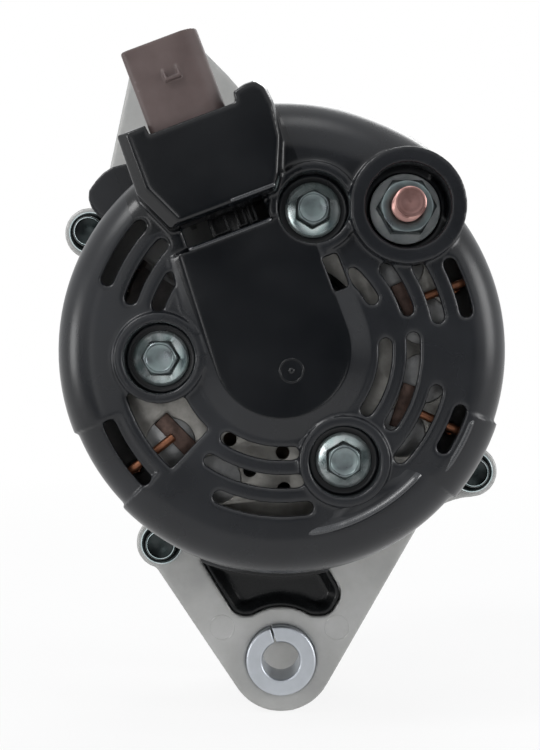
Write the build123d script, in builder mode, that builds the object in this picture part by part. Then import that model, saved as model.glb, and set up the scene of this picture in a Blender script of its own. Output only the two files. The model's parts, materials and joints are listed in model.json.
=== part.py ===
from build123d import *
from math import cos, degrees, radians, sin
import os

# A car alternator in millimetres. The rotor turns about the Y axis, the pulley is at +Y and the
# rear cover at -Y. The origin is on the rotor axis, midway across the belt ribs. +Z is up, away
# from the lower pivot ear.

os.makedirs("parts", exist_ok=True)

# ---- driving dimensions -------------------------------------------------------------------

fit = 0.05               # radial clearance of a running or threaded fit
seat_gap = 0.3           # gap left between pieces that only lie close together

pulley_width = 27.0
pulley_radius = 27.0
flange_rise = 1.0
belt_ribs = 6
rib_pitch = 3.56
rib_depth = 2.9
shaft_radius = 8.5
thread_radius = 8.0      # M16 front end of the shaft
hub_seat = 1.5           # the nut's seat, in front of the belt centre
nut_height = 11.0
nut_across_flats = 24.0
spacer_radius = 12.0

nose_gap = 2.5           # pulley to drive-end frame
nose_lip = 3.0
bearing_hub_wall = 7.5   # round the front bearing
front_ball = 8.73
rear_ball = 6.0
front_bearing = {"outer": 23.5, "bore": 8.5, "width": 14.0, "pitch": 16.0, "balls": 7}
rear_bearing = {"outer": 17.5, "bore": 7.5, "width": 11.0, "pitch": 12.5, "balls": 8}
retainer_thickness = 2.0
bearing_hub_radius = front_bearing["outer"] + bearing_hub_wall
retainer_screw_circle = front_bearing["outer"] + bearing_hub_wall / 2

fan_sheet = 1.6
blade_height = 5.5
blade_count = 11
rotor_end_gap = 1.6
rotor_radius = 46.0
air_gap = 0.35
pole_length = 42.0
pole_disc = 10.4
pole_hub_radius = 20.0
fingers = 8
finger_base_width = 18.5
finger_tip_width = 8.0
finger_base_depth = 10.0
finger_tip_depth = 4.0
finger_end_gap = 2.0
coil_clearance = 2.5     # field coil to the claws' inner faces
coil_radius = rotor_radius - finger_base_depth - coil_clearance

stator_length = 31.0
slot_count = 48
slot_width = 2.8
slot_depth = 6.2
tooth_lip = 1.2
back_iron = 4.25
stator_radius = rotor_radius + air_gap + tooth_lip + slot_depth + back_iron
winding_overhang = 9.5

frame_wall = 4.0
bolt_standoff = 3.5      # stator's outside to the bolt axes
bolt_circle = stator_radius + bolt_standoff
bolt_angles = (58, 148, 238, 328)
lug_radius = 7.0
through_bolt_radius = 3.0
bolt_flange_radius = 5.7
bolt_head_height = 5.5
front_lug_depth = 13.0

pivot_drop = 84.0        # rotor axis to pivot bolt axis
pivot_tip_radius = 14.4
pivot_bolt_radius = 5.1
pivot_thread_radius = 4.25
sleeve_wall = 4.4
sleeve_length = 16.0
sleeve_standout = 3.0
sleeve_slit = 0.55
rear_ear_depth = 14.0
front_ear_depth = 12.0
clevis_gap = 38.0
adjuster_x = -33.0
adjuster_z = 84.3
adjuster_tip_radius = 13.0
adjuster_hole_radius = 4.25
adjuster_depth = 12.0
adjuster_face = -43.0

rear_fan_gap = 2.7
rear_hub_radius = 22.0
sink_standoff = 2.0
sink_thickness = 3.0
sink_gap = 16.0
sink_inner = 23.2
lead_clearance = 4.55    # stator leads to the sinks' outer edge
pillar_radius = 6.5
diode_radius = 6.35
diode_height = 6.0
diode_inset = 8.0
diode_angles = (219.5, 243, 325.5, 348.9, 372.3, 395.7)
vent_places = ((3.1, 239.7), (2.9, 270.5), (8.5, 255.1), (12.3, 271))   # past the sinks' inner edge, angle
vent_radius = 1.7

terminal_angles = (218.5, 335.5, 20.5)
terminal_inset = 2.5
terminal_sheet = 1.6
terminal_width = 4.4
terminal_length = 11.5
lead_radius = 1.1

ring_width = 5.0
ring_spacing = 1.5
ring_radius = 7.2
ring_bore = 5.0
shaft_tail = 5.0
brush_width = 6.4
brush_thickness = 4.6
brush_length = 15.0
brush_clearance = 0.1
brush_play = 0.15

module_tilt = 20.6       # lean of the regulator and its connector from the vertical
regulator_foot = 3.0
regulator_screw_radius = 1.6
regulator_screws_at = ((-15.0, 44.5), (13.0, 44.5))   # across and up the lean

cover_wall = 2.5
cover_depth = 34.0       # outer face of the rear frame wall to the cover face
cover_overhang = 0.2     # cover rim past the frame's skirt
cover_rim_radius = stator_radius + cover_overhang
cover_draft = 1.0
cover_shoulder = 10.0
crown_rise = 7.4
crown_shoulder_y = 15.0
crown_face_inset = 7.2
boss_radius = 11.4
boss_recess_radius = 9.0
boss_floor = 2.5
boss_rise = 1.5
cover_bolt_places = ((-3.335, 183.727), (-2.086, 299.367), (2.464, 77.523))   # past the sinks' middle, angle
cover_bolt_turns = (0, 32, 28)   # how far each hexagon is turned
cover_bolt_radius = 3.0
cover_bolt_flange = 7.2
cover_bolt_flats = 8.0
cover_bolt_head = 6.5
stud_place = (13.529, 48.916)   # past the sinks' middle, angle
stud_radius = 4.0
thread_depth = 0.4       # from the stud's outside to its pitch radius
shroud_radius = 14.6
shroud_recess_radius = 10.6
shroud_rise = 4.0
battery_nut_height = 8.0
battery_nut_flats = 13.0
battery_nut_flange = 8.95
stud_standout = 9.5      # past the nut
slot_size = 3.3
slot_row_gap = 3.6       # panel border to the middle of the first row
slot_row_pitch = 7.0
panel_rise = 1.8
panel_radius = 17.2
panel_border = 5.2
hood_rise = 10.0
hood_wall = 2.2
hood_chamfer = 3.0
plug_notch = (-12.1, 10.8, 60.5)   # left, right and floor of the notch the connector leaves through
socket_wall = 1.5
socket_depth = 19.0

# ---- stations along the rotor axis, from the front (+Y) to the rear (-Y) ------------------

pulley_front = pulley_width / 2
pulley_rear = -pulley_width / 2
shaft_front = hub_seat + nut_height + 2.5
frame_nose = pulley_rear - nose_gap
front_race_face = frame_nose - nose_lip
front_race_back = front_race_face - front_bearing["width"]
retainer_back = front_race_back - retainer_thickness
front_fan_face = retainer_back - rotor_end_gap
pole_front = front_fan_face - fan_sheet
pole_rear = pole_front - pole_length
pole_middle = (pole_front + pole_rear) / 2
stator_front = pole_middle + stator_length / 2
stator_rear = pole_middle - stator_length / 2
rear_fan_face = pole_rear - fan_sheet
rear_wall_front = rear_fan_face - blade_height - rear_fan_gap
rear_wall_back = rear_wall_front - frame_wall
rear_race_face = rear_wall_front - 3.0
rear_race_back = rear_race_face - rear_bearing["width"]
hub_back = rear_race_back - 0.3
lug_face = rear_wall_front - 2.0
rim_face = rear_wall_back - 4.6
negative_front = rear_wall_back - sink_standoff
negative_back = negative_front - sink_thickness
positive_front = negative_back - sink_gap
positive_back = positive_front - sink_thickness
bolt_seat = positive_back - boss_floor
cover_face = rear_wall_back - cover_depth
cover_inside = cover_face + cover_wall
boss_face = cover_face - boss_rise
shroud_face = cover_face - shroud_rise
nut_seat = positive_back - 3.0
stud_end = nut_seat - battery_nut_height - stud_standout
hood_face = cover_face - hood_rise
rings_front = rear_race_back - 1.0
ring_a_front = rings_front - 1.2
ring_b_front = ring_a_front - ring_width - ring_spacing
rings_back = ring_b_front - ring_width - 1.2
shaft_rear = rings_back - 0.6
pivot_rear = lug_face
pivot_inner = pivot_rear + rear_ear_depth
front_ear_back = pivot_inner + clevis_gap
front_ear_front = front_ear_back + front_ear_depth
sleeve_back = pivot_rear - sleeve_standout
sleeve_radius = pivot_bolt_radius + sleeve_wall

cover_shoulder_face = cover_rim_radius - cover_draft - cover_shoulder
crown_rim_radius = cover_rim_radius + crown_rise
crown_face_radius = cover_rim_radius - crown_face_inset
first_row = panel_radius + panel_border + slot_row_gap
slot_rows = (first_row, first_row + slot_row_pitch, first_row + 2 * slot_row_pitch, cover_shoulder_face)
slot_middle = rotor_radius + air_gap + tooth_lip + slot_depth / 2
sink_outer = slot_middle - lead_radius - lead_clearance
diode_circle = sink_outer - diode_inset
terminal_circle = diode_circle - terminal_inset
tilt_x = cos(radians(module_tilt))
tilt_z = sin(radians(module_tilt))


def across(y):
    # plane square to the rotor axis at station y; it extrudes rearwards, towards -Y
    return Plane.XZ.offset(-y)


def leaning(y):
    # the same, turned so that its local y runs up along the leaning regulator and connector
    return Plane(origin=(0, y, 0), x_dir=(tilt_x, 0, tilt_z), z_dir=(0, -1, 0))


def polar(radius, angle):
    return radius * cos(radians(angle)), radius * sin(radians(angle))


sink_middle = (sink_inner + sink_outer) / 2
cover_bolts_at = [polar(sink_middle + past, angle) for past, angle in cover_bolt_places]
stud_at = polar(sink_middle + stud_place[0], stud_place[1])


def turned(corners):
    # solid turned about the rotor axis from (radius, station) corners
    with BuildPart() as body:
        with BuildSketch(Plane.XY):
            with BuildLine():
                Polyline(*corners, close=True)
            make_face()
        revolve(axis=Axis.Y)
    return body


def tube(outer, bore, front, back, at=(0, 0)):
    with BuildPart() as body:
        with BuildSketch(across(front)):
            with Locations(at):
                Circle(outer)
                if bore:
                    Circle(bore, mode=Mode.SUBTRACT)
        extrude(amount=front - back)
    return body


def sector(inner, outer, start, span):
    # flat piece of a ring, in degrees from +X towards +Z
    with BuildSketch() as face:
        with BuildLine():
            far = CenterArc((0, 0), outer, start, span)
            near = CenterArc((0, 0), inner, start, span)
            Line(far @ 0, near @ 0)
            Line(far @ 1, near @ 1)
        make_face()
    return face.sketch


def arc_slot(radius, start, end):
    # round-ended slot along an arc, its end centres at the two angles
    near = radius - slot_size / 2
    far = radius + slot_size / 2
    cap = degrees(slot_size / 2 / radius)
    with BuildSketch() as face:
        with BuildLine():
            CenterArc((0, 0), far, start, end - start)
            CenterArc((0, 0), near, start, end - start)
            ThreePointArc(polar(near, start), polar(radius, start - cap), polar(far, start))
            ThreePointArc(polar(near, end), polar(radius, end + cap), polar(far, end))
        make_face()
    return face.sketch


def keep(piece, name):
    piece.part.label = name
    export_step(piece.part, "parts/" + name + ".step")


# ---- pulley, nut and spacer ---------------------------------------------------------------

groove_span = belt_ribs * rib_pitch
flange_edge = pulley_radius + flange_rise
rim = [(shaft_radius, hub_seat), (nut_across_flats * 0.5 + 5.0, hub_seat),
       (nut_across_flats * 0.5 + 6.5, pulley_front), (flange_edge - 0.6, pulley_front),
       (flange_edge, pulley_front - 0.6), (flange_edge, groove_span / 2 + 0.9),
       (pulley_radius, groove_span / 2)]
for rib in range(belt_ribs):
    groove_front = groove_span / 2 - rib * rib_pitch
    rim += [(pulley_radius, groove_front - 0.35),
            (pulley_radius - rib_depth, groove_front - rib_pitch / 2 + 0.4),
            (pulley_radius - rib_depth, groove_front - rib_pitch / 2 - 0.4),
            (pulley_radius, groove_front - rib_pitch + 0.35)]
rim += [(pulley_radius, -groove_span / 2), (pulley_radius + flange_rise, -groove_span / 2 - 0.9),
        (pulley_radius + flange_rise, pulley_rear), (pulley_radius - 6.0, pulley_rear),
        (pulley_radius - 7.0, pulley_rear + 5.0), (spacer_radius + 2.5, pulley_rear + 5.0),
        (spacer_radius + 1.5, pulley_rear), (shaft_radius, pulley_rear)]
pulley = turned(rim)
keep(pulley, "pulley")

with BuildPart() as pulley_nut:
    with BuildSketch(across(hub_seat + nut_height)):
        RegularPolygon(nut_across_flats / 2, 6, major_radius=False)
        Circle(thread_radius, mode=Mode.SUBTRACT)
    extrude(amount=nut_height)
    with BuildSketch(across(hub_seat + 2.5)):
        Circle(nut_across_flats / 2 + 3.5)
        Circle(thread_radius, mode=Mode.SUBTRACT)
    extrude(amount=2.5)
keep(pulley_nut, "pulley_nut")

shaft_spacer = tube(spacer_radius, shaft_radius, pulley_rear, front_race_face)
keep(shaft_spacer, "shaft_spacer")

# ---- ball bearings ------------------------------------------------------------------------


def bearing(sizes, ball, face, name):
    # outer race, inner race, balls, riveted cage and two shields of a sealed ball bearing
    pitch = sizes["pitch"]
    back = face - sizes["width"]
    middle = (face + back) / 2
    groove = ball / 2 + fit
    land = ball * 0.36
    outer = tube(sizes["outer"], pitch + land, face, back)
    inner = tube(pitch - land, sizes["bore"], face, back)
    with BuildPart() as raceway:
        with BuildSketch(Plane.XY):
            with Locations((pitch, middle)):
                Circle(groove)
        revolve(axis=Axis.Y)
    with BuildPart() as outer_race:
        add(outer.part)
        add(raceway.part, mode=Mode.SUBTRACT)
    keep(outer_race, name + "_outer_race")
    with BuildPart() as inner_race:
        add(inner.part)
        add(raceway.part, mode=Mode.SUBTRACT)
    keep(inner_race, name + "_inner_race")
    with BuildPart() as balls:
        with Locations(Plane.XZ.offset(-middle)):
            with PolarLocations(pitch, sizes["balls"]):
                Sphere(ball / 2)
    keep(balls, name + "_balls")
    cage_half = ball / 2 + 0.6
    with BuildPart() as cage:
        with BuildSketch(across(middle + cage_half)):
            Circle(pitch + ball * 0.17)
            Circle(pitch - ball * 0.17, mode=Mode.SUBTRACT)
        extrude(amount=2 * cage_half)
        with Locations(Plane.XZ.offset(-middle)):
            with PolarLocations(pitch, sizes["balls"]):
                Cylinder(ball / 2 + 0.12, ball, rotation=(0, 90, 0), mode=Mode.SUBTRACT)
    keep(cage, name + "_cage")
    with BuildPart() as shields:
        for front in (face - 0.5, back + 0.9):
            with BuildSketch(across(front)):
                Circle(pitch + land)
                Circle(pitch - land + seat_gap, mode=Mode.SUBTRACT)
            extrude(amount=0.4)
    keep(shields, name + "_shields")


bearing(front_bearing, front_ball, front_race_face, "front_bearing")
bearing(rear_bearing, rear_ball, rear_race_face, "rear_bearing")

# ---- drive-end frame ----------------------------------------------------------------------

wall_outside = frame_nose - 3.0
outer_corner = stator_radius - 6.0
with BuildPart() as drive_end_frame:
    add(turned([(spacer_radius + 1.5, frame_nose), (front_bearing["outer"] + 2.0, frame_nose),
                (bearing_hub_radius, wall_outside), (outer_corner, wall_outside - 3.0),
                (stator_radius - 1.5, wall_outside - 5.5), (stator_radius, wall_outside - 9.0),
                (stator_radius, stator_front), (stator_radius - frame_wall, stator_front),
                (stator_radius - frame_wall, wall_outside - 9.5), (outer_corner - 1.5, wall_outside - 7.2),
                (bearing_hub_radius, wall_outside - 5.0), (bearing_hub_radius, front_race_back),
                (front_bearing["outer"], front_race_back), (front_bearing["outer"], front_race_face),
                (spacer_radius + 1.5, front_race_face)]).part)
    with BuildSketch(across(frame_nose)):
        for window in range(12):
            add(sector(bearing_hub_radius + 3.5, outer_corner - 2.5, 30 * window + 4, 22), mode=Mode.ADD)
    extrude(amount=frame_nose - front_race_back, mode=Mode.SUBTRACT)
    with BuildSketch(across(wall_outside - 10.0)):
        for window in range(12):
            add(sector(stator_radius - frame_wall - 1, stator_radius + 1, 30 * window + 6, 14))
    extrude(amount=9.0, mode=Mode.SUBTRACT)
    with BuildSketch(across(stator_front + front_lug_depth)):
        for angle in bolt_angles:
            with Locations(polar(bolt_circle, angle)):
                Circle(lug_radius)
            with Locations(Location(polar(bolt_circle - 3.5, angle), angle)):
                Rectangle(7.0, 2 * lug_radius)
        Circle(stator_radius - frame_wall, mode=Mode.SUBTRACT)
    extrude(amount=front_lug_depth)
    with BuildSketch(across(front_ear_front)):
        with Locations((0, -pivot_drop)):
            Circle(pivot_tip_radius - 0.4)
        with Locations(polar(stator_radius - 7, 240), polar(stator_radius - 7, 300)):
            Circle(6.0)
        make_hull()
        Circle(stator_radius - 1, mode=Mode.SUBTRACT)
    extrude(amount=front_ear_depth)
    with BuildSketch(across(adjuster_face + adjuster_depth)):
        with Locations((adjuster_x, adjuster_z)):
            Circle(adjuster_tip_radius)
        with Locations((adjuster_x + 11.5, adjuster_z - 4.5)):
            Circle(8.0)
        with Locations(polar(stator_radius - 5, 82)):
            Circle(4.0)
        with Locations(polar(bolt_circle, bolt_angles[1])):
            Circle(lug_radius - 2.0)
        make_hull()
        Circle(stator_radius - 1, mode=Mode.SUBTRACT)
    extrude(amount=adjuster_depth)
    with BuildSketch(across(stator_front - 1)):
        for angle in bolt_angles:
            with Locations(polar(bolt_circle, angle)):
                Circle(through_bolt_radius + fit)
    extrude(amount=-front_lug_depth + 1.0, mode=Mode.SUBTRACT)
    with BuildSketch(across(front_ear_front + 1)):
        with Locations((0, -pivot_drop)):
            Circle(pivot_thread_radius)
    extrude(amount=front_ear_depth + 2, mode=Mode.SUBTRACT)
    with BuildSketch(across(adjuster_face + adjuster_depth + 1)):
        with Locations((adjuster_x, adjuster_z)):
            Circle(adjuster_hole_radius)
    extrude(amount=adjuster_depth + 2, mode=Mode.SUBTRACT)
    with BuildSketch(across(front_race_back)):
        with PolarLocations(retainer_screw_circle, 4, 45):
            Circle(1.65)
    extrude(amount=-8.0, mode=Mode.SUBTRACT)
keep(drive_end_frame, "drive_end_frame")

with BuildPart() as bearing_retainer:
    with BuildSketch(across(front_race_back)):
        Circle(bearing_hub_radius - 0.5)
        Circle(front_bearing["pitch"] + front_ball * 0.36 + 1.0, mode=Mode.SUBTRACT)
        with PolarLocations(retainer_screw_circle, 4, 45):
            Circle(2.2, mode=Mode.SUBTRACT)
    extrude(amount=retainer_thickness)
keep(bearing_retainer, "bearing_retainer")

with BuildPart() as retainer_screws:
    with BuildSketch(across(front_race_back + 7.5)):
        with PolarLocations(retainer_screw_circle, 4, 45):
            Circle(1.6)
    extrude(amount=7.5 + retainer_thickness)
    with BuildSketch(across(retainer_back)):
        with PolarLocations(retainer_screw_circle, 4, 45):
            Circle(3.2)
            Rectangle(4.2, 0.9, mode=Mode.SUBTRACT)
    extrude(amount=1.2)
keep(retainer_screws, "retainer_screws")

# ---- stator -------------------------------------------------------------------------------

with BuildPart() as stator_core:
    with BuildSketch(across(stator_front)):
        Circle(stator_radius)
        Circle(rotor_radius + air_gap, mode=Mode.SUBTRACT)
        with PolarLocations(slot_middle, slot_count):
            Rectangle(slot_depth, slot_width, mode=Mode.SUBTRACT)
        with PolarLocations(rotor_radius + air_gap + 0.8, slot_count):
            Rectangle(2.0, 1.2, mode=Mode.SUBTRACT)
        with PolarLocations(stator_radius, 8, bolt_angles[0] + 22.5):
            Circle(1.2, mode=Mode.SUBTRACT)
    extrude(amount=stator_length)
keep(stator_core, "stator_core")

winding_front = stator_front + winding_overhang
winding_rear = stator_rear - winding_overhang
with BuildPart() as stator_winding:
    with BuildSketch(across(winding_front)):
        with PolarLocations(slot_middle, slot_count):
            Rectangle(slot_depth - 0.4, slot_width - 0.4)
    extrude(amount=winding_front - winding_rear)
    for crown_front in (winding_front, winding_rear + 2.4):
        with BuildSketch(across(crown_front)):
            Circle(slot_middle + slot_depth / 2 - 0.6)
            Circle(slot_middle - slot_depth / 2 + 0.6, mode=Mode.SUBTRACT)
        extrude(amount=2.4)
keep(stator_winding, "stator_winding")

# ---- rotor --------------------------------------------------------------------------------

with BuildPart() as rotor_shaft:
    add(turned([(0, shaft_front), (thread_radius - 1, shaft_front), (thread_radius, shaft_front - 1),
                (thread_radius, hub_seat), (shaft_radius, hub_seat), (shaft_radius, front_race_back),
                (shaft_radius + 1.5, front_race_back), (shaft_radius + 1.5, pole_front),
                (shaft_radius + 0.3, pole_front), (shaft_radius + 0.3, rear_race_face),
                (rear_bearing["bore"], rear_race_face), (rear_bearing["bore"], rear_race_back),
                (shaft_tail, rear_race_back), (shaft_tail, shaft_rear), (0, shaft_rear)]).part)
    with BuildSketch(across(shaft_front)):
        RegularPolygon(4.0, 6, major_radius=False)
    extrude(amount=8.0, mode=Mode.SUBTRACT)
keep(rotor_shaft, "rotor_shaft")


def finger(base_y, tip_y):
    # one claw: wide and deep at the disc, narrow and thin at its tip
    with BuildPart() as claw:
        with BuildSketch(across(base_y)):
            with Locations((rotor_radius - finger_base_depth / 2 + 1, 0)):
                Rectangle(finger_base_depth + 2, finger_base_width)
        with BuildSketch(across(tip_y)):
            with Locations((rotor_radius - finger_tip_depth / 2 + 1, 0)):
                Rectangle(finger_tip_depth + 2, finger_tip_width)
        loft()
    return claw.part


def pole(outer_y, turn):
    # one claw-pole half; outer_y is the face away from the middle of the rotor
    inward = -1 if outer_y > pole_middle else 1
    disc_y = outer_y + inward * pole_disc
    tip_y = outer_y + inward * (pole_length - finger_end_gap)
    claw = finger(disc_y, tip_y)
    with BuildPart() as half:
        with BuildSketch(across(max(outer_y, disc_y))):
            Circle(rotor_radius - finger_base_depth - 6)
            with PolarLocations((rotor_radius + 10) / 2, fingers, turn):
                Rectangle(rotor_radius - 8, finger_base_width)
        extrude(amount=pole_disc)
        for count in range(fingers):
            add(claw.rotate(Axis.Y, -(turn + count * 360 / fingers)))
        with BuildSketch(across(max(outer_y, pole_middle))):
            Circle(pole_hub_radius)
        extrude(amount=abs(outer_y - pole_middle))
        with BuildSketch(across(max(outer_y, tip_y) + 1)):
            Circle(rotor_radius)
        extrude(amount=abs(outer_y - tip_y) + 2, mode=Mode.INTERSECT)
        with BuildSketch(across(pole_front + 1)):
            Circle(shaft_radius + 0.3)
        extrude(amount=pole_length + 2, mode=Mode.SUBTRACT)
    return half


front_pole = pole(pole_front, 0)
keep(front_pole, "front_pole")
rear_pole = pole(pole_rear, 180 / fingers)
keep(rear_pole, "rear_pole")

bobbin_front = pole_front - pole_disc - 0.2
bobbin_back = pole_rear + pole_disc + 0.2
with BuildPart() as coil_bobbin:
    add(turned([(pole_hub_radius + 0.1, bobbin_front), (coil_radius + 1, bobbin_front),
                (coil_radius + 1, bobbin_front - 1), (pole_hub_radius + 1.3, bobbin_front - 1),
                (pole_hub_radius + 1.3, bobbin_back + 1), (coil_radius + 1, bobbin_back + 1),
                (coil_radius + 1, bobbin_back), (pole_hub_radius + 0.1, bobbin_back)]).part)
keep(coil_bobbin, "coil_bobbin")
field_coil = tube(coil_radius, pole_hub_radius + 1.3, bobbin_front - 1, bobbin_back + 1)
keep(field_coil, "field_coil")


def fan(base_front, blades_forward, name):
    # pressed fan: a spotted-on disc with one curved blade bent up at each arm
    with BuildPart() as wheel:
        with BuildSketch(across(base_front)):
            Circle(bearing_hub_radius + 3)
            Circle(shaft_radius + 6, mode=Mode.SUBTRACT)
            for blade in range(blade_count):
                start = blade * 360 / blade_count
                add(sector(bearing_hub_radius + 2, rotor_radius - 1, start, 17))
        extrude(amount=fan_sheet)
        with BuildSketch(across(base_front + blade_height if blades_forward else base_front - fan_sheet)):
            for blade in range(blade_count):
                turn = 360 / blade_count * blade
                with BuildLine():
                    inner = polar(bearing_hub_radius + 2.5, turn + 2)
                    middle = polar((bearing_hub_radius + rotor_radius) / 2, turn + 5.5)
                    outer = polar(rotor_radius - 1.2, turn + 14)
                    spine = ThreePointArc(inner, middle, outer)
                    offset(spine, amount=fan_sheet / 2)
                make_face()
        extrude(amount=blade_height)
    keep(wheel, name)


fan(front_fan_face, True, "front_fan")
fan(pole_rear, False, "rear_fan")

# ---- slip rings ---------------------------------------------------------------------------

with BuildPart() as slip_rings:
    for front in (ring_a_front, ring_b_front):
        add(tube(ring_radius, ring_radius - 1.2, front, front - ring_width).part)
keep(slip_rings, "slip_rings")
with BuildPart() as slip_ring_moulding:
    add(tube(ring_radius - 1.2, ring_bore, rings_front, rings_back).part)
    for front, back in ((rings_front, ring_a_front), (ring_a_front - ring_width, ring_b_front),
                        (ring_b_front - ring_width, rings_back)):
        add(tube(ring_radius - 0.2, ring_bore, front, back).part)
keep(slip_ring_moulding, "slip_ring_moulding")

# ---- rear frame ---------------------------------------------------------------------------

pocket_boss_radius = 14.1      # metal left round the pivot sleeve
floor_z = -pivot_drop + 11.6
pocket_left = -21.9
pocket_corners = ((pocket_left, 8 - stator_radius), (pocket_left, 0.8 - stator_radius), (-12.6, floor_z),
                  (13.4, floor_z), (17.2, floor_z + 6.2), (13.0, -1 - stator_radius),
                  (13.0, 8 - stator_radius))


def pocket(shrink):
    # outline of the hollow in the rear ear, with a round lobe on each side of the sleeve's boss
    with BuildSketch() as hollow:
        with BuildLine():
            Polyline(*pocket_corners, close=True)
        make_face()
        fillet(hollow.vertices().filter_by(lambda corner: corner.Y < floor_z + 7), 4.6)
        with Locations((0, -pivot_drop)):
            Circle(pocket_boss_radius, mode=Mode.SUBTRACT)
        cusps = hollow.vertices().filter_by(lambda corner: abs(corner.X) < 9 and corner.Y < floor_z + 1)
        fillet(cusps, 3.0)
        if shrink:
            offset(amount=-shrink)
    return hollow.sketch


def flare():
    # hollow curve from the side of the ear out to the right-hand lug
    root_x, root_z = polar(stator_radius - 3.3, -47)
    lug_x, lug_z = polar(bolt_circle, bolt_angles[3])
    ear_side = (root_x + 1.7, root_z - 5.3)
    lug_foot = (lug_x + 0.3, lug_z - lug_radius)
    with BuildSketch() as web:
        with BuildLine():
            ThreePointArc(ear_side, (root_x + 7.2, root_z - 1.6), lug_foot)
            Polyline(lug_foot, polar(stator_radius - 3, -33), polar(stator_radius - 8, -53), ear_side)
        make_face()
    return web.sketch


left_root = polar(bolt_circle, bolt_angles[2])
with BuildPart() as rear_frame:
    add(turned([(13.0, rear_wall_front), (stator_radius - frame_wall, rear_wall_front),
                (stator_radius - frame_wall, stator_rear), (stator_radius, stator_rear),
                (stator_radius, rim_face), (stator_radius - frame_wall, rim_face),
                (stator_radius - frame_wall, rear_wall_back), (rear_hub_radius, rear_wall_back),
                (rear_hub_radius, hub_back), (rear_bearing["outer"], hub_back),
                (rear_bearing["outer"], rear_race_face), (13.0, rear_race_face)]).part)
    with BuildSketch(across(rear_wall_front + 1)):
        for window in range(9):
            add(sector(rear_hub_radius + 4, stator_radius - frame_wall - 6, 40 * window - 14, 24))
    extrude(amount=frame_wall + 2, mode=Mode.SUBTRACT)
    with BuildSketch(across(rear_wall_back)):
        add(sector(rear_hub_radius + 1, stator_radius - frame_wall - 1, 88, 52))
    extrude(amount=-frame_wall)
    with BuildSketch(across(stator_rear - 4.0)):
        for window in range(12):
            add(sector(stator_radius - frame_wall - 1, stator_radius + 1, 30 * window + 6, 14))
    extrude(amount=8.5, mode=Mode.SUBTRACT)
    with BuildSketch(across(rear_wall_front)):
        with Locations(*cover_bolts_at):
            Circle(pillar_radius)
    extrude(amount=rear_wall_front - positive_back)
    with BuildSketch(across(rear_wall_front)):
        with Locations(*cover_bolts_at):
            Circle(pillar_radius + 3)
    extrude(amount=rear_wall_front - negative_front)
    with BuildSketch(across(stator_rear)):
        for angle in bolt_angles:
            with Locations(polar(bolt_circle, angle)):
                Circle(lug_radius)
            with Locations(Location(polar(bolt_circle - 3.5, angle), angle)):
                Rectangle(7.0, 2 * lug_radius)
        Circle(stator_radius - frame_wall, mode=Mode.SUBTRACT)
    extrude(amount=stator_rear - lug_face)
    with BuildSketch(across(pivot_inner)):
        with Locations((0, -pivot_drop)):
            Circle(pivot_tip_radius)
        with Locations(left_root):
            Circle(lug_radius - 1.9)
        with Locations(polar(stator_radius - 3.3, -47)):
            Circle(4.0)
        make_hull()
        add(flare())
        Circle(stator_radius - 1, mode=Mode.SUBTRACT)
        add(pocket(0), mode=Mode.SUBTRACT)
        add(sector(stator_radius - frame_wall, stator_radius, 236, 94))
    extrude(amount=rear_ear_depth)
    with BuildSketch(across(stator_rear + 1)):
        for angle in bolt_angles:
            with Locations(polar(bolt_circle, angle)):
                Circle(through_bolt_radius + 0.2)
    extrude(amount=stator_rear - lug_face + 2, mode=Mode.SUBTRACT)
    with BuildSketch(across(lug_face)):
        for angle in bolt_angles:
            with Locations(polar(bolt_circle, angle)):
                Circle(bolt_flange_radius + seat_gap)
    extrude(amount=lug_face - rim_face + 1, mode=Mode.SUBTRACT)
    with BuildSketch(across(rear_wall_front + 1)):
        for angle in terminal_angles:
            with Locations(polar(slot_middle, angle)):
                Circle(lead_radius + 0.5)
        for u, v in regulator_screws_at:
            with Locations((u * tilt_x - v * tilt_z, u * tilt_z + v * tilt_x)):
                Circle(regulator_screw_radius + fit)
    extrude(amount=frame_wall + 2, mode=Mode.SUBTRACT)
    with BuildSketch(across(pivot_inner + 1)):
        with Locations((0, -pivot_drop)):
            Circle(sleeve_radius + fit)
    extrude(amount=rear_ear_depth + 2, mode=Mode.SUBTRACT)
    with BuildSketch(across(positive_back)):
        with Locations(*cover_bolts_at):
            Circle(cover_bolt_radius + fit)
    extrude(amount=-18.0, mode=Mode.SUBTRACT)
keep(rear_frame, "rear_frame")

with BuildPart() as pivot_sleeve:
    sleeve_front = sleeve_back + sleeve_length
    add(tube(sleeve_radius, pivot_bolt_radius, sleeve_front, sleeve_back, (0, -pivot_drop)).part)
    chamfer(pivot_sleeve.edges().filter_by(GeomType.CIRCLE), 0.45)
    with BuildSketch(across(sleeve_front + 1)):
        with Locations(Location((-sleeve_radius * 0.27, -pivot_drop + sleeve_radius * 0.88), 107)):
            Rectangle(sleeve_radius, sleeve_slit)
    extrude(amount=sleeve_length + 2, mode=Mode.SUBTRACT)
keep(pivot_sleeve, "pivot_sleeve")

with BuildPart() as through_bolts:
    with BuildSketch(across(stator_front + front_lug_depth - 2.5)):
        for angle in bolt_angles:
            with Locations(polar(bolt_circle, angle)):
                Circle(through_bolt_radius)
    extrude(amount=stator_front + front_lug_depth - 2.5 - lug_face)
    with BuildSketch(across(lug_face)):
        for angle in bolt_angles:
            with Locations(polar(bolt_circle, angle)):
                Circle(bolt_flange_radius)
    extrude(amount=1.4)
    with BuildSketch(across(lug_face - 1.4)):
        for angle in bolt_angles:
            with Locations(polar(bolt_circle, angle)):
                RegularPolygon(4.0, 6, major_radius=False)
    extrude(amount=bolt_head_height - 1.4)
keep(through_bolts, "through_bolts")

# ---- rectifier ----------------------------------------------------------------------------

sink_start = 165
sink_span = 285


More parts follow.
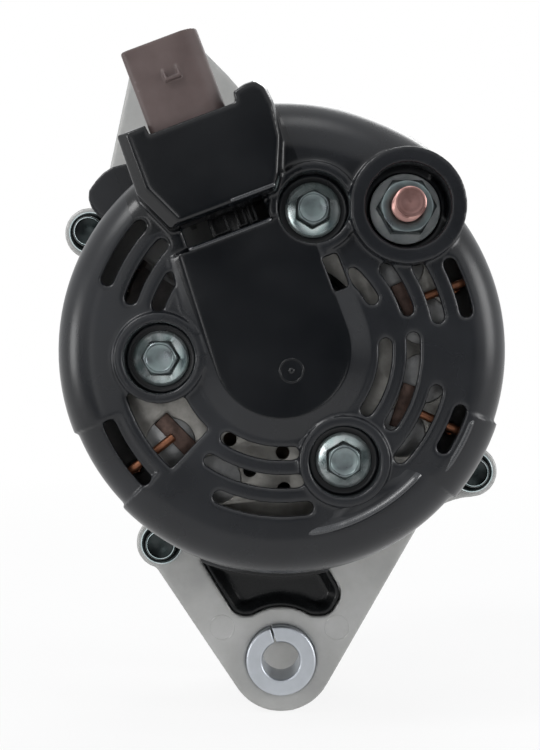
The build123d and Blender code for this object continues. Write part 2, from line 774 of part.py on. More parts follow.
def sink(front, tab_radius, name):
    with BuildPart() as plate:
        with BuildSketch(across(front)):
            add(sector(sink_inner, sink_outer, sink_start, sink_span))
            if tab_radius:
                with Locations(stud_at):
                    Circle(tab_radius)
                    Circle(stud_radius, mode=Mode.SUBTRACT)
            with Locations(*cover_bolts_at):
                Circle(pillar_radius + 0.5, mode=Mode.SUBTRACT)
            for angle in diode_angles:
                with Locations(polar(diode_circle, angle)):
                    Circle(diode_radius, mode=Mode.SUBTRACT)
            for past, angle in vent_places:
                with Locations(polar(sink_inner + past, angle)):
                    Circle(vent_radius, mode=Mode.SUBTRACT)
        extrude(amount=sink_thickness)
    keep(plate, name)


sink(negative_front, 0, "negative_heat_sink")
sink(positive_front, 7.2, "positive_heat_sink")


def diodes(back, towards_front, name):
    # press-fit diodes with a short lead, six on the diode circle
    with BuildPart() as group:
        for angle in diode_angles:
            spot = polar(diode_circle, angle)
            add(tube(diode_radius, 0, back + diode_height, back, spot).part)
            lead_front = back + diode_height + 2.5 if towards_front else back
            add(tube(0.7, 0, lead_front, lead_front - 2.5, spot).part)
    keep(group, name)


diodes(positive_back + 0.5, True, "positive_diodes")
diodes(negative_back - 2.5, False, "negative_diodes")

board_front = negative_back - 6.5
with BuildPart() as terminal_board:
    with BuildSketch(across(board_front)):
        add(sector(sink_inner + 1, diode_circle - diode_radius - 0.4, sink_start + 4, sink_span - 8))
    extrude(amount=1.8)
    for spot in cover_bolts_at:
        add(tube(pillar_radius + 2, 0, negative_back, positive_front, spot).part)
    for spot in cover_bolts_at:
        add(tube(pillar_radius + 0.2, 0, negative_back + 1, positive_front - 1, spot).part,
            mode=Mode.SUBTRACT)
keep(terminal_board, "terminal_board")

lead_foot = positive_back - terminal_sheet - lead_radius
with BuildPart() as phase_terminals:
    for angle in terminal_angles:
        with BuildSketch(across(positive_back)):
            with Locations(Location(polar(terminal_circle, angle), angle + 6)):
                Rectangle(terminal_width, terminal_length)
        extrude(amount=terminal_sheet)
keep(phase_terminals, "phase_terminals")

with BuildPart() as stator_leads:
    for angle in terminal_angles:
        lead_x, lead_z = polar(slot_middle, angle)
        foot_x, foot_z = polar(terminal_circle + 0.8, angle)
        with BuildLine() as route:
            FilletPolyline((lead_x, winding_rear, lead_z), (lead_x, lead_foot, lead_z),
                           (foot_x, lead_foot, foot_z), radius=2.5)
        with BuildSketch(across(winding_rear)):
            with Locations((lead_x, lead_z)):
                Circle(lead_radius)
        sweep(path=route.wires()[0])
keep(stator_leads, "stator_leads")

# ---- battery stud -------------------------------------------------------------------------

with BuildPart() as battery_stud:
    add(tube(stud_radius, 0, positive_front, stud_end, stud_at).part)
    chamfer(battery_stud.edges().filter_by(GeomType.CIRCLE).sort_by(Axis.Y)[0], 0.7)
    with BuildSketch(across(positive_front + 3)):
        with Locations(stud_at):
            RegularPolygon(6.0, 6, major_radius=False)
    extrude(amount=3.0)
    with BuildSketch(across(stud_end + 1.0)):
        with Locations(stud_at):
            Circle(2.2)
    extrude(amount=1.0, mode=Mode.SUBTRACT)
    # inside the nut both threads are drawn at their pitch radius
    engaged = tube(stud_radius, stud_radius - thread_depth, nut_seat, nut_seat - battery_nut_height, stud_at)
    add(engaged.part, mode=Mode.SUBTRACT)
keep(battery_stud, "battery_stud")
battery_collar = tube(stud_radius + 2.5, stud_radius, positive_back, nut_seat, stud_at)
keep(battery_collar, "battery_collar")
battery_insulator = tube(stud_radius + 4.9, stud_radius + 2.6, positive_back, nut_seat + 0.2, stud_at)
keep(battery_insulator, "battery_insulator")

with BuildPart() as battery_nut:
    with BuildSketch(across(nut_seat)):
        with Locations(stud_at):
            Circle(battery_nut_flange)
    extrude(amount=1.6)
    with BuildSketch(across(nut_seat - 1.6)):
        with Locations(stud_at):
            Circle(battery_nut_flange - 1.2)
    extrude(amount=0.8)
    with BuildSketch(across(nut_seat)):
        with Locations(stud_at):
            RegularPolygon(battery_nut_flats / 2, 6, major_radius=False)
    extrude(amount=battery_nut_height)
    with BuildSketch(across(nut_seat)):
        with Locations(stud_at):
            Circle(stud_radius - thread_depth)
    extrude(amount=battery_nut_height, mode=Mode.SUBTRACT)
keep(battery_nut, "battery_nut")

# ---- brushes, holder and regulator --------------------------------------------------------

channel_top = 32.0
holder_top = 38.6
terminal_frames = ((-5.8, -1.6), (0.9, 3.3), (4.2, 6.0))   # U-shaped ribs seen in the slot under the hood
holder_front = ring_a_front + 1.4
holder_back = cover_inside + 2.5
brush_foot = ring_radius + brush_clearance


def leaning_block(u_low, u_high, v_low, v_high, front, back):
    with BuildPart() as block:
        with BuildSketch(leaning(front)):
            with Locations(((u_low + u_high) / 2, (v_low + v_high) / 2)):
                Rectangle(u_high - u_low, v_high - v_low)
        extrude(amount=front - back)
    return block


ring_middles = (ring_a_front - ring_width / 2, ring_b_front - ring_width / 2)
for middle, letter in zip(ring_middles, "ab"):
    brush = leaning_block(-brush_width / 2, brush_width / 2, brush_foot, brush_foot + brush_length,
                          middle + brush_thickness / 2, middle - brush_thickness / 2)
    keep(brush, "brush_" + letter)
    spring_low = brush_foot + brush_length
    spring_plane = Plane(origin=(-tilt_z * spring_low, middle, tilt_x * spring_low),
                         x_dir=(tilt_x, 0, tilt_z), z_dir=(-tilt_z, 0, tilt_x))
    with BuildPart() as spring:
        with BuildSketch(spring_plane):
            Circle(1.9)
            Circle(1.4, mode=Mode.SUBTRACT)
        extrude(amount=channel_top - spring_low)
    keep(spring, "brush_spring_" + letter)

with BuildPart() as brush_holder:
    add(leaning_block(-6.2, 6.2, ring_radius + 3.4, holder_top, holder_front, holder_back).part)
    add(tube(13.0, ring_radius + 2.2, holder_front, holder_back).part)
    add(leaning_block(-3.6, 3.6, 0, ring_radius + 4.0, holder_front + 1, holder_back - 1).part,
        mode=Mode.SUBTRACT)
    for left, right in terminal_frames:
        foot, top = holder_top - 6.0, holder_top - 1.6
        add(leaning_block(left, right, foot, top, holder_back, holder_back - 2.4).part)
        add(leaning_block(left + 0.6, right - 0.6, foot + 0.6, top + 0.6, holder_back, holder_back - 3).part,
            mode=Mode.SUBTRACT)
    for middle in ring_middles:
        half_width = brush_width / 2 + brush_play
        half_thickness = brush_thickness / 2 + brush_play
        add(leaning_block(-half_width, half_width, ring_radius, channel_top, middle + half_thickness,
                          middle - half_thickness).part, mode=Mode.SUBTRACT)
keep(brush_holder, "brush_holder")

with BuildPart() as slip_ring_seal:
    add(tube(19.5, 13.1, hub_back, hub_back - 4.0).part)
    add(leaning_block(-6.3, 6.3, 0, 30, hub_back + 1, hub_back - 5).part, mode=Mode.SUBTRACT)
keep(slip_ring_seal, "slip_ring_seal")

shell_left = -11.7
shell_right = 8.1
shell_low = 57.2
shell_top = 82.0
shell_back = hood_face + hood_wall + 0.1
shell_front = shell_back + 15.0
with BuildPart() as regulator:
    add(leaning_block(-13, 11, 40, 57, rim_face - 0.9, hood_face + hood_wall + 2.8).part)
    add(leaning_block(-13, 11, 41, 50, rear_wall_back, rim_face - 0.9).part)
    for fin in range(5):
        add(leaning_block(-11 + fin * 4.6, -9.4 + fin * 4.6, holder_top + 0.4, 40, rim_face - 0.9,
                          cover_face + 4).part)
    add(leaning_block(-17.2, 15.2, 41, 48, rear_wall_back, rear_wall_back - regulator_foot).part)
    with BuildSketch(leaning(rear_wall_back + 1)):
        with Locations(*regulator_screws_at):
            Circle(regulator_screw_radius + 0.2)
    extrude(amount=regulator_foot + 2, mode=Mode.SUBTRACT)
keep(regulator, "regulator")

with BuildPart() as regulator_screws:
    with BuildSketch(leaning(rear_wall_front - 0.5)):
        with Locations(*regulator_screws_at):
            Circle(regulator_screw_radius)
    extrude(amount=frame_wall - 0.5 + regulator_foot)
    with BuildSketch(leaning(rear_wall_back - regulator_foot)):
        with Locations(*regulator_screws_at):
            Circle(2.0)
    extrude(amount=1.8)
keep(regulator_screws, "regulator_screws")

shell_plane = Plane(origin=(-tilt_z * shell_low, 0, tilt_x * shell_low), x_dir=(tilt_x, 0, tilt_z),
                    z_dir=(-tilt_z, 0, tilt_x))
shell_middle = ((shell_left + shell_right) / 2, (shell_front + shell_back) / 2)
shell_size = (shell_right - shell_left, shell_front - shell_back)


def shell_section(inset):
    # squarish on the left, rounded on the right
    with BuildSketch(Plane.XY) as section:
        with Locations(shell_middle):
            Rectangle(shell_size[0] - 2 * inset, shell_size[1] - 2 * inset)
        corners = section.vertices().group_by(Axis.X)
        fillet(corners[-1], 5.0 - inset)
        fillet(section.vertices().group_by(Axis.X)[0], 1.8 - inset)
    return section.sketch


with BuildPart() as connector_pins:
    with BuildSketch(shell_plane):
        with Locations(shell_middle):
            with GridLocations(4.6, 1, 3, 1):
                Rectangle(2.2, 0.8)
    extrude(amount=shell_top - shell_low - 5.0)
keep(connector_pins, "connector_pins")

with BuildPart() as connector_shell:
    with BuildSketch(shell_plane):
        add(shell_section(0))
    extrude(amount=shell_top - shell_low)
    with BuildSketch(shell_plane.offset(shell_top - shell_low - socket_depth)):
        add(shell_section(socket_wall))
    extrude(amount=socket_depth, mode=Mode.SUBTRACT)
    add(connector_pins.part, mode=Mode.SUBTRACT)
    with BuildSketch(Plane(origin=(tilt_x * -3.7, 0, tilt_z * -3.7), x_dir=(-tilt_z, 0, tilt_x),
                           z_dir=(tilt_x, 0, tilt_z))):
        with BuildLine():
            Polyline((71.2, -shell_back), (71.2, -shell_back + 1.4), (72.0, -shell_back + 1.4),
                     (74.8, -shell_back), close=True)
        make_face()
    extrude(amount=4.2)
    # the lock's ramp is hollow, so a U stands on the shell
    add(leaning_block(-3.0, -0.2, 72.0, 76, shell_back, shell_back - 1.5).part, mode=Mode.SUBTRACT)
keep(connector_shell, "connector_shell")

# ---- rear cover ---------------------------------------------------------------------------


def cup(rim_radius, face_radius, shoulder, inset, start, span):
    # turned cup of the cover, or a sector of one; inset gives its inner surface
    rim = rim_radius - inset
    wall = rim - cover_draft
    face = cover_face + inset
    with BuildPart() as shape:
        with BuildSketch(Plane.XY):
            with BuildLine():
                Line((0, rim_face), (rim, rim_face))
                Line((rim, rim_face), (wall, cover_face + shoulder))
                bulge = cos(radians(45))
                middle = (face_radius + (wall - face_radius) * bulge,
                          cover_face + shoulder + (face - cover_face - shoulder) * bulge)
                ThreePointArc((wall, cover_face + shoulder), middle, (face_radius, face))
                Line((face_radius, face), (0, face))
                Line((0, face), (0, rim_face))
            make_face()
        revolve(axis=Axis.Y, revolution_arc=span)
    return shape.part.rotate(Axis.Y, -(start + span))


hood_corners = ((-19.6, 63.4), (-20.1, 48.0), (-15.4, 37.2), (12.4, 37.2), (14.8, 40.3), (18.4, 48.8),
                (19.5, 57.4), (19.0, 62.0), (17.2, 64.3), (14.2, 64.4), (11.0, 63.6))
hood_face_corners = ((-17.0, 62.7), (-17.0, 47.9), (-12.5, 37.9), (12.0, 37.9), (14.0, 40.6), (17.6, 49.0),
                     (18.6, 57.3), (18.1, 61.5), (16.6, 63.5), (14.1, 63.6), (11.0, 62.9))


def corners_face(plane, corners, inset=0):
    with BuildSketch(plane) as face:
        with BuildLine():
            Polyline(*corners, close=True)
        make_face()
        if inset:
            offset(amount=-inset, kind=Kind.INTERSECTION)
    return face.sketch


def hood_body():
    # prism with its rear edge chamfered, broadly on the left
    with BuildPart() as body:
        with BuildSketch(leaning(rim_face)):
            add(corners_face(Plane.XY, hood_corners))
        extrude(amount=rim_face - hood_face - hood_chamfer)
        with BuildSketch(leaning(hood_face + hood_chamfer)):
            add(corners_face(Plane.XY, hood_corners))
        with BuildSketch(leaning(hood_face)):
            add(corners_face(Plane.XY, hood_face_corners))
        loft(ruled=True)
    return body.part


def hood_hollow():
    with BuildPart() as body:
        with BuildSketch(leaning(rim_face + 1)):
            add(corners_face(Plane.XY, hood_corners, hood_wall))
        extrude(amount=rim_face + 1 - hood_face - hood_wall)
    return body.part


panel_slot_left = -13.0
panel_slot_right = 8.8
panel_top = 31.4
hood_low = hood_corners[2][1]


def panel_outline(radius, left_lean):
    # U open at the top: half round at the bottom, straight sides up to the slot
    with BuildLine() as outline:
        ThreePointArc((-radius, 0), (0, -radius), (radius, 0))
        Line((radius, 0), (radius, panel_top))
        Line((radius, panel_top), (-radius + left_lean, panel_top))
        Line((-radius + left_lean, panel_top), (-radius, 0))
    return outline.line


def dish_cut():
    # what is taken off the shoulder in the dished sector
    with BuildPart() as cut:
        with BuildSketch(across(rim_face - 3.0)):
            add(sector(slot_rows[2] + 3.6, crown_rim_radius, recess_start, recess_span))
        extrude(amount=cover_depth)
        add(cup(cover_rim_radius, cover_shoulder_face, cover_shoulder, 0.9, 0, 360), mode=Mode.SUBTRACT)
    return cut.part


def panel_body():
    with BuildPart() as panel:
        with BuildSketch(leaning(cover_inside)):
            add(panel_outline(panel_radius + panel_border, 4.0))
            make_face()
        extrude(amount=cover_wall)
        with BuildSketch(leaning(cover_face)):
            add(panel_outline(panel_radius + panel_border, 4.0))
            make_face()
        with BuildSketch(leaning(cover_face - panel_rise)):
            add(panel_outline(panel_radius, 1.5))
            make_face()
        loft()
    return panel.part


tab_x, tab_z = polar(cover_rim_radius - 2.3, 132.8)
tab_corners = ((-2.0, 9.2), (-4.1, 9.0), (-7.2, 8.2), (-9.6, 6.6), (-11.5, 4.5), (-13.3, 2.0), (-13.5, -0.3),
               (-12.7, -2.6), (-11.1, -4.6), (-9.1, -6.3), (-6.4, -7.2), (0, 0))
tongue_front = pivot_rear + 8.0
tongue_face = pivot_rear + 0.6
tongue_dish = 3.6
tongue_gap = 0.3
crown_start = 47
crown_span = 51
block_start = 319.5
block_span = 21.8
recess_start = 202
recess_span = 22.5
window_start = 196
window_span = 31
vent_angles = (((238, 276), (325, 363), (30, 47)),
               ((237, 277), (326, 365), (18, 38), (147, 160)),
               ((247, 279), (318, 345), (12, 31), (139, 161)),
               ((329, 341), (12, 27), (139, 158), (204, 223)))

with BuildPart() as rear_cover:
    add(cup(cover_rim_radius, cover_shoulder_face, cover_shoulder, 0, 0, 360))
    add(cup(crown_rim_radius, crown_face_radius, crown_shoulder_y, 0, crown_start, crown_span))
    add(cup(cover_rim_radius + 1, cover_shoulder_face, cover_shoulder - 1, 0, block_start, block_span))
    add(hood_body())
    add(tube(shroud_radius, 0, rim_face, shroud_face, stud_at).part)
    # hollow inside
    add(cup(cover_rim_radius, cover_shoulder_face, cover_shoulder, cover_wall, 0, 360), mode=Mode.SUBTRACT)
    add(cup(crown_rim_radius, crown_face_radius, crown_shoulder_y, cover_wall, crown_start + 2,
            crown_span - 4), mode=Mode.SUBTRACT)
    add(hood_hollow(), mode=Mode.SUBTRACT)
    add(tube(shroud_radius - cover_wall, 0, rim_face + 1, positive_back, stud_at).part, mode=Mode.SUBTRACT)
    # dished sector at the lower left
    add(dish_cut(), mode=Mode.SUBTRACT)
    # cooling slots
    with BuildSketch(across(cover_inside + 4)):
        for radius, spans in zip(slot_rows, vent_angles):
            for start, end in spans:
                add(arc_slot(radius, start, end))
        add(sector(slot_rows[0] + 1, slot_rows[2] + 0.6, window_start, window_span))
        with Locations(stud_at):
            Circle(shroud_radius, mode=Mode.SUBTRACT)
    extrude(amount=cover_wall + 8, mode=Mode.SUBTRACT)
    # floors and rims of the battery shroud and the bolt bosses
    with BuildSketch(across(positive_back)):
        with Locations(stud_at):
            Circle(shroud_radius)
    extrude(amount=positive_back - nut_seat - 0.6)
    with BuildSketch(across(nut_seat + 0.6)):
        with Locations(stud_at):
            Circle(shroud_recess_radius)
    extrude(amount=nut_seat + 0.6 - shroud_face + 1, mode=Mode.SUBTRACT)
    with BuildSketch(across(positive_back)):
        with Locations(*cover_bolts_at):
            Circle(boss_radius)
    extrude(amount=positive_back - boss_face)
    # raised panel over the slip rings, with a sloping border
    add(panel_body())
    # slot under the hood, and the recesses and holes of the bolts
    with BuildSketch(leaning(cover_inside + 1)):
        with Locations(((panel_slot_left + panel_slot_right) / 2, (panel_top + hood_low) / 2)):
            Rectangle(panel_slot_right - panel_slot_left, hood_low - panel_top)
        with Locations((19.4, 13.5)):
            Rectangle(4.0, 9.0)
    extrude(amount=cover_wall + panel_rise + 2, mode=Mode.SUBTRACT)
    with BuildSketch(across(bolt_seat)):
        with Locations(*cover_bolts_at):
            Circle(boss_recess_radius)
    extrude(amount=bolt_seat - hood_face, mode=Mode.SUBTRACT)
    with BuildSketch(across(positive_back + 1)):
        with Locations(*cover_bolts_at):
            Circle(cover_bolt_radius + 0.3)
        with Locations(stud_at):
            Circle(stud_radius + 5.0)
    extrude(amount=boss_floor + 2, mode=Mode.SUBTRACT)
    # notch in the hood's top for the connector
    add(leaning_block(plug_notch[0], plug_notch[1], plug_notch[2], plug_notch[2] + 8, rim_face + 1,
                      hood_face - 1).part, mode=Mode.SUBTRACT)
    # flat tab beside the hood
    with BuildSketch(across(rim_face - 1.4)):
        add(corners_face(Plane.XY, [(tab_x + x, tab_z + z) for x, z in tab_corners]))
        Circle(cover_rim_radius - 1.6, mode=Mode.SUBTRACT)
    extrude(amount=3.0)
    # tongue that fills the hollow of the lower ear, hung from the rim by a short web
    with BuildSketch(across(tongue_front)):
        add(pocket(tongue_gap))
        Circle(stator_radius + 0.4, mode=Mode.SUBTRACT)
    extrude(amount=tongue_front - tongue_face)
    with BuildSketch(across(tongue_face)):
        add(pocket(tongue_gap + 0.9))
        Circle(stator_radius + 1.5, mode=Mode.SUBTRACT)
    extrude(amount=-tongue_dish, taper=32, mode=Mode.SUBTRACT)
    with BuildSketch(across(tongue_front)):
        add(pocket(tongue_gap))
        Circle(stator_radius + 0.4, mode=Mode.SUBTRACT)
        Circle(stator_radius + 2.2, mode=Mode.INTERSECT)
    extrude(amount=tongue_front - rim_face)
    with BuildSketch(across(rim_face)):
        add(pocket(tongue_gap))
        Circle(cover_rim_radius - 1.2, mode=Mode.SUBTRACT)
        Circle(stator_radius + 2.2, mode=Mode.INTERSECT)
    extrude(amount=4.0)
keep(rear_cover, "rear_cover")

with BuildPart() as cover_bolts:
    with BuildSketch(across(positive_back + 14.0)):
        with Locations(*cover_bolts_at):
            Circle(cover_bolt_radius)
    extrude(amount=positive_back + 14.0 - bolt_seat)
    with BuildSketch(across(bolt_seat)):
        with Locations(*cover_bolts_at):
            Circle(cover_bolt_flange)
    extrude(amount=1.5)
    with BuildSketch(across(bolt_seat - 1.5)):
        for spot, turn in zip(cover_bolts_at, cover_bolt_turns):
            with Locations(spot):
                RegularPolygon(cover_bolt_flats / 2, 6, rotation=turn, major_radius=False)
    extrude(amount=cover_bolt_head - 1.5)
    with BuildSketch(across(bolt_seat - cover_bolt_head + 0.5)):
        with Locations(*cover_bolts_at):
            Circle(2.4)
    extrude(amount=0.5, mode=Mode.SUBTRACT)
keep(cover_bolts, "cover_bolts")
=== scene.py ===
import json
import math
import bmesh
import bpy
from mathutils import Matrix, Vector


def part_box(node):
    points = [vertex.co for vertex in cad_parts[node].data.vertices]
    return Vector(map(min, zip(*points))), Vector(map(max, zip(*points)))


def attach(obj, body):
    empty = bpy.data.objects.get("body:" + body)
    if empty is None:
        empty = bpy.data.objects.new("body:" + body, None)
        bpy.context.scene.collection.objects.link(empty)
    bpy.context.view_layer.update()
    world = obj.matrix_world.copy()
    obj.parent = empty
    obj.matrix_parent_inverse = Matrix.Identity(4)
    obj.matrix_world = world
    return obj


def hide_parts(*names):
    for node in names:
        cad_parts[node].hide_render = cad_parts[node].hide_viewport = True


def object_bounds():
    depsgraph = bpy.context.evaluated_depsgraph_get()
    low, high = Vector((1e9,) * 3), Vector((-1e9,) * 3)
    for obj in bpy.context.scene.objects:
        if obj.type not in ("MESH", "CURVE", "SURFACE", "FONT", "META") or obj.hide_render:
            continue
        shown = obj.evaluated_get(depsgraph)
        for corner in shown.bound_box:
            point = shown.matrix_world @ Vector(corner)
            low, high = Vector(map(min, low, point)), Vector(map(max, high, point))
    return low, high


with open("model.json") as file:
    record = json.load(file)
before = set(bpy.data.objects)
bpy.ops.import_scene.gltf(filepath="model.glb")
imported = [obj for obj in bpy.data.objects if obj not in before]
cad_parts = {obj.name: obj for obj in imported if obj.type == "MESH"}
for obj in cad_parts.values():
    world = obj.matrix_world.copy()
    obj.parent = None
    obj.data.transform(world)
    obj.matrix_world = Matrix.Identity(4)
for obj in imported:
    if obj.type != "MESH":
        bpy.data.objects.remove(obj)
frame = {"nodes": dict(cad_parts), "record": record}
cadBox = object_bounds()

mm = 0.001
weld = 0.002 * mm  # points closer than this are one
axis = {"x": 0, "z": 0}  # the rotor's axis
nodes = frame["nodes"]
record = frame["record"]
slotOf = {part["node"]: part["material_slot"] for part in record["subparts"]}
bodyOf = {name: body for body, members in record["behaviour"]["bodies"].items() for name in members}
lean = math.radians(20.6)  # the regulator and the plug lean this far to the left


# small helpers that the finishes are made with

def newFinish(name, colour, metal, rough, specular=0.5):
    finish = bpy.data.materials.new(name)
    finish.use_nodes = True
    tree = finish.node_tree
    shader = tree.nodes["Principled BSDF"]
    shader.inputs["Base Color"].default_value = (*colour, 1)
    shader.inputs["Metallic"].default_value = metal
    shader.inputs["Roughness"].default_value = rough
    shader.inputs["Specular IOR Level"].default_value = specular
    return finish, tree, shader


def place(tree):
    # object coordinates in millimetres
    spot = tree.nodes.new("ShaderNodeTexCoord")
    scale = tree.nodes.new("ShaderNodeMapping")
    scale.inputs["Scale"].default_value = (1 / mm, 1 / mm, 1 / mm)
    tree.links.new(spot.outputs["Object"], scale.inputs["Vector"])
    return scale.outputs["Vector"]


def noise(tree, where, scale, detail=3.0, rough=0.5):
    cloud = tree.nodes.new("ShaderNodeTexNoise")
    cloud.inputs["Scale"].default_value = scale
    cloud.inputs["Detail"].default_value = detail
    cloud.inputs["Roughness"].default_value = rough
    tree.links.new(where, cloud.inputs["Vector"])
    return cloud.outputs["Fac"]


def ramp(tree, value, stops):
    band = tree.nodes.new("ShaderNodeValToRGB")
    band.color_ramp.elements[0].position = stops[0][0]
    band.color_ramp.elements[0].color = (*stops[0][1], 1)
    band.color_ramp.elements[1].position = stops[-1][0]
    band.color_ramp.elements[1].color = (*stops[-1][1], 1)
    for spot, colour in stops[1:-1]:
        band.color_ramp.elements.new(spot).color = (*colour, 1)
    tree.links.new(value, band.inputs["Fac"])
    return band.outputs["Color"]


def between(tree, value, start, end, low, high):
    reach = tree.nodes.new("ShaderNodeMapRange")
    reach.inputs["From Min"].default_value = start
    reach.inputs["From Max"].default_value = end
    reach.inputs["To Min"].default_value = low
    reach.inputs["To Max"].default_value = high
    tree.links.new(value, reach.inputs["Value"])
    return reach.outputs["Result"]


def spread(tree, value, low, high):
    # noise hardly leaves the middle of its range, so that part is stretched over low to high
    return between(tree, value, 0.3, 0.7, low, high)


def maths(tree, kind, first, second=None):
    step = tree.nodes.new("ShaderNodeMath")
    step.operation = kind
    for socket, value in zip(step.inputs, (first, second)):
        if isinstance(value, (int, float)):
            socket.default_value = value
        elif value is not None:
            tree.links.new(value, socket)
    return step.outputs["Value"]


def blendColour(tree, share, low, high):
    mix = tree.nodes.new("ShaderNodeMix")
    mix.data_type = "RGBA"
    tree.links.new(share, mix.inputs["Factor"])
    for socket, colour in ((mix.inputs["A"], low), (mix.inputs["B"], high)):
        if isinstance(colour, tuple):
            socket.default_value = (*colour, 1)
        else:
            tree.links.new(colour, socket)
    return mix.outputs["Result"]


def feed(tree, shader, colour, rough):
    # a finish's colour and gloss both vary over the piece
    tree.links.new(colour, shader.inputs["Base Color"])
    tree.links.new(rough, shader.inputs["Roughness"])


edgeWearAndHighlightLook = {"starts": 0.545, "full": 0.64}  # how sharp an edge is where its painted wear and highlight starts and is full


def edgeWearAndHighlight(tree, shader, colour, amount):
    # edges and corners are painted lighter, as wear and as a painted highlight, where the surface turns
    # sharply outwards
    shape = tree.nodes.new("ShaderNodeNewGeometry")
    worn = between(tree, shape.outputs["Pointiness"], edgeWearAndHighlightLook["starts"], edgeWearAndHighlightLook["full"], 0.0, amount)
    body = shader.inputs["Base Color"].links[0].from_socket
    tree.links.new(blendColour(tree, worn, body, colour), shader.inputs["Base Color"])


def bumpy(tree, shader, value, depth, height=0.5):
    bump = tree.nodes.new("ShaderNodeBump")
    bump.inputs["Strength"].default_value = height
    bump.inputs["Distance"].default_value = depth * mm
    tree.links.new(value, bump.inputs["Height"])
    tree.links.new(bump.outputs["Normal"], shader.inputs["Normal"])


# the finishes, one for each material slot of the record

plasticLook = {
    "satin": (0.0102, 0.0112, 0.0136),
    "polished": (0.0046, 0.0052, 0.0064),
    "specular": 0.40,
    "satinRough": 0.27,
    "polishedRough": 0.18,
    "grain": 0.7,
    # the polished zone in millimetres, along the regulator's lean
    "panelRadius": 17.3,
    "hoodFrom": 38.5,
    "hoodMiddle": -1.5,
    "hoodHalf": 22.0,
    "raisedPast": -122.0,
}


def shaded(colour, share):
    return tuple(c * share for c in colour)


def polishedZone(tree, where):
    # the long panel with its round foot, and the hood: 1 on them and 0 elsewhere
    look = plasticLook
    turn = tree.nodes.new("ShaderNodeVectorRotate")
    turn.rotation_type = "Y_AXIS"
    turn.inputs["Angle"].default_value = lean
    tree.links.new(where, turn.inputs["Vector"])
    parts = tree.nodes.new("ShaderNodeSeparateXYZ")
    tree.links.new(turn.outputs["Vector"], parts.inputs["Vector"])
    below = maths(tree, "MINIMUM", parts.outputs["Z"], 0.0)
    reach = maths(tree, "SQRT", maths(tree, "ADD", maths(tree, "POWER", parts.outputs["X"], 2.0),
                                      maths(tree, "POWER", below, 2.0)))
    panel = maths(tree, "LESS_THAN", reach, look["panelRadius"])
    aside = maths(tree, "ABSOLUTE", maths(tree, "SUBTRACT", parts.outputs["X"], look["hoodMiddle"]))
    hood = maths(tree, "MULTIPLY", maths(tree, "GREATER_THAN", parts.outputs["Z"], look["hoodFrom"]),
                 maths(tree, "LESS_THAN", aside, look["hoodHalf"]))
    raised = maths(tree, "LESS_THAN", parts.outputs["Y"], look["raisedPast"])
    return maths(tree, "MULTIPLY", maths(tree, "MAXIMUM", panel, hood), raised)


def mouldedBlack():
    look = plasticLook
    finish, tree, shader = newFinish("mouldedBlack", look["satin"], 0.0, look["satinRough"],
                                     look["specular"])
    where = place(tree)
    broad = noise(tree, where, 0.05, 4.0)
    fine = noise(tree, where, look["grain"], 4.0, 0.6)
    zone = polishedZone(tree, where)
    satin = ramp(tree, broad, [(0.3, shaded(look["satin"], 0.8)), (0.55, look["satin"]),
                               (0.75, shaded(look["satin"], 1.3))])
    gloss = ramp(tree, broad, [(0.3, shaded(look["polished"], 0.85)),
                               (0.7, shaded(look["polished"], 1.15))])
    rough = spread(tree, broad, look["satinRough"] - 0.04, look["satinRough"] + 0.06)
    smoother = maths(tree, "MULTIPLY", zone, look["satinRough"] - look["polishedRough"])
    feed(tree, shader, blendColour(tree, zone, satin, gloss), maths(tree, "SUBTRACT", rough, smoother))
    bumpy(tree, shader, fine, 0.02, 0.25)
    return finish


brownLook = {
    "colour": (0.100, 0.073, 0.070),
    "darker": (0.085, 0.061, 0.058),
    "lighter": (0.118, 0.088, 0.084),
    "worn": (0.19, 0.15, 0.145),
    "rough": 0.42,
    "grain": 1.6,
}


def mouldedBrown():
    look = brownLook
    finish, tree, shader = newFinish("mouldedBrown", look["colour"], 0.0, look["rough"], 0.35)
    where = place(tree)
    broad = noise(tree, where, 0.12, 3.0)
    fine = noise(tree, where, look["grain"], 4.0, 0.6)
    shade = ramp(tree, broad, [(0.3, look["darker"]), (0.7, look["lighter"])])
    feed(tree, shader, shade, spread(tree, fine, look["rough"] - 0.06, look["rough"] + 0.06))
    # edges painted lighter: wear and a painted highlight
    edgeWearAndHighlight(tree, shader, look["worn"], 0.5)
    bumpy(tree, shader, fine, 0.03, 0.4)
    return finish


castLook = {
    "colour": (0.40, 0.40, 0.39),
    "darker": (0.35, 0.35, 0.345),
    "lighter": (0.45, 0.45, 0.445),
    "worn": (0.58, 0.58, 0.57),
    "metal": 0.40,
    "rough": 0.50,
    "grain": 1.3,
}


def castAluminium():
    look = castLook
    finish, tree, shader = newFinish("castAluminium", look["colour"], look["metal"], look["rough"])
    where = place(tree)
    broad = noise(tree, where, 0.07, 4.0, 0.6)
    fine = noise(tree, where, look["grain"], 5.0, 0.65)
    shade = ramp(tree, broad, [(0.28, look["darker"]), (0.5, look["colour"]), (0.72, look["lighter"])])
    feed(tree, shader, shade, spread(tree, fine, look["rough"] - 0.06, look["rough"] + 0.08))
    # edges painted lighter: wear and a painted highlight
    edgeWearAndHighlight(tree, shader, look["worn"], 0.6)
    bumpy(tree, shader, fine, 0.06, 0.5)
    return finish


def plated(name, colour, stain, rough, metal=1.0):
    # a thin plating with stained patches
    finish, tree, shader = newFinish(name, colour, metal, rough)
    where = place(tree)
    broad = noise(tree, where, 0.30, 3.0)
    fine = noise(tree, where, 0.9, 3.0, 0.5)
    shade = ramp(tree, broad, [(0.32, stain), (0.62, colour)])
    feed(tree, shader, shade, spread(tree, broad, rough - 0.04, rough + 0.06))
    bumpy(tree, shader, fine, 0.006, 0.4)
    return finish


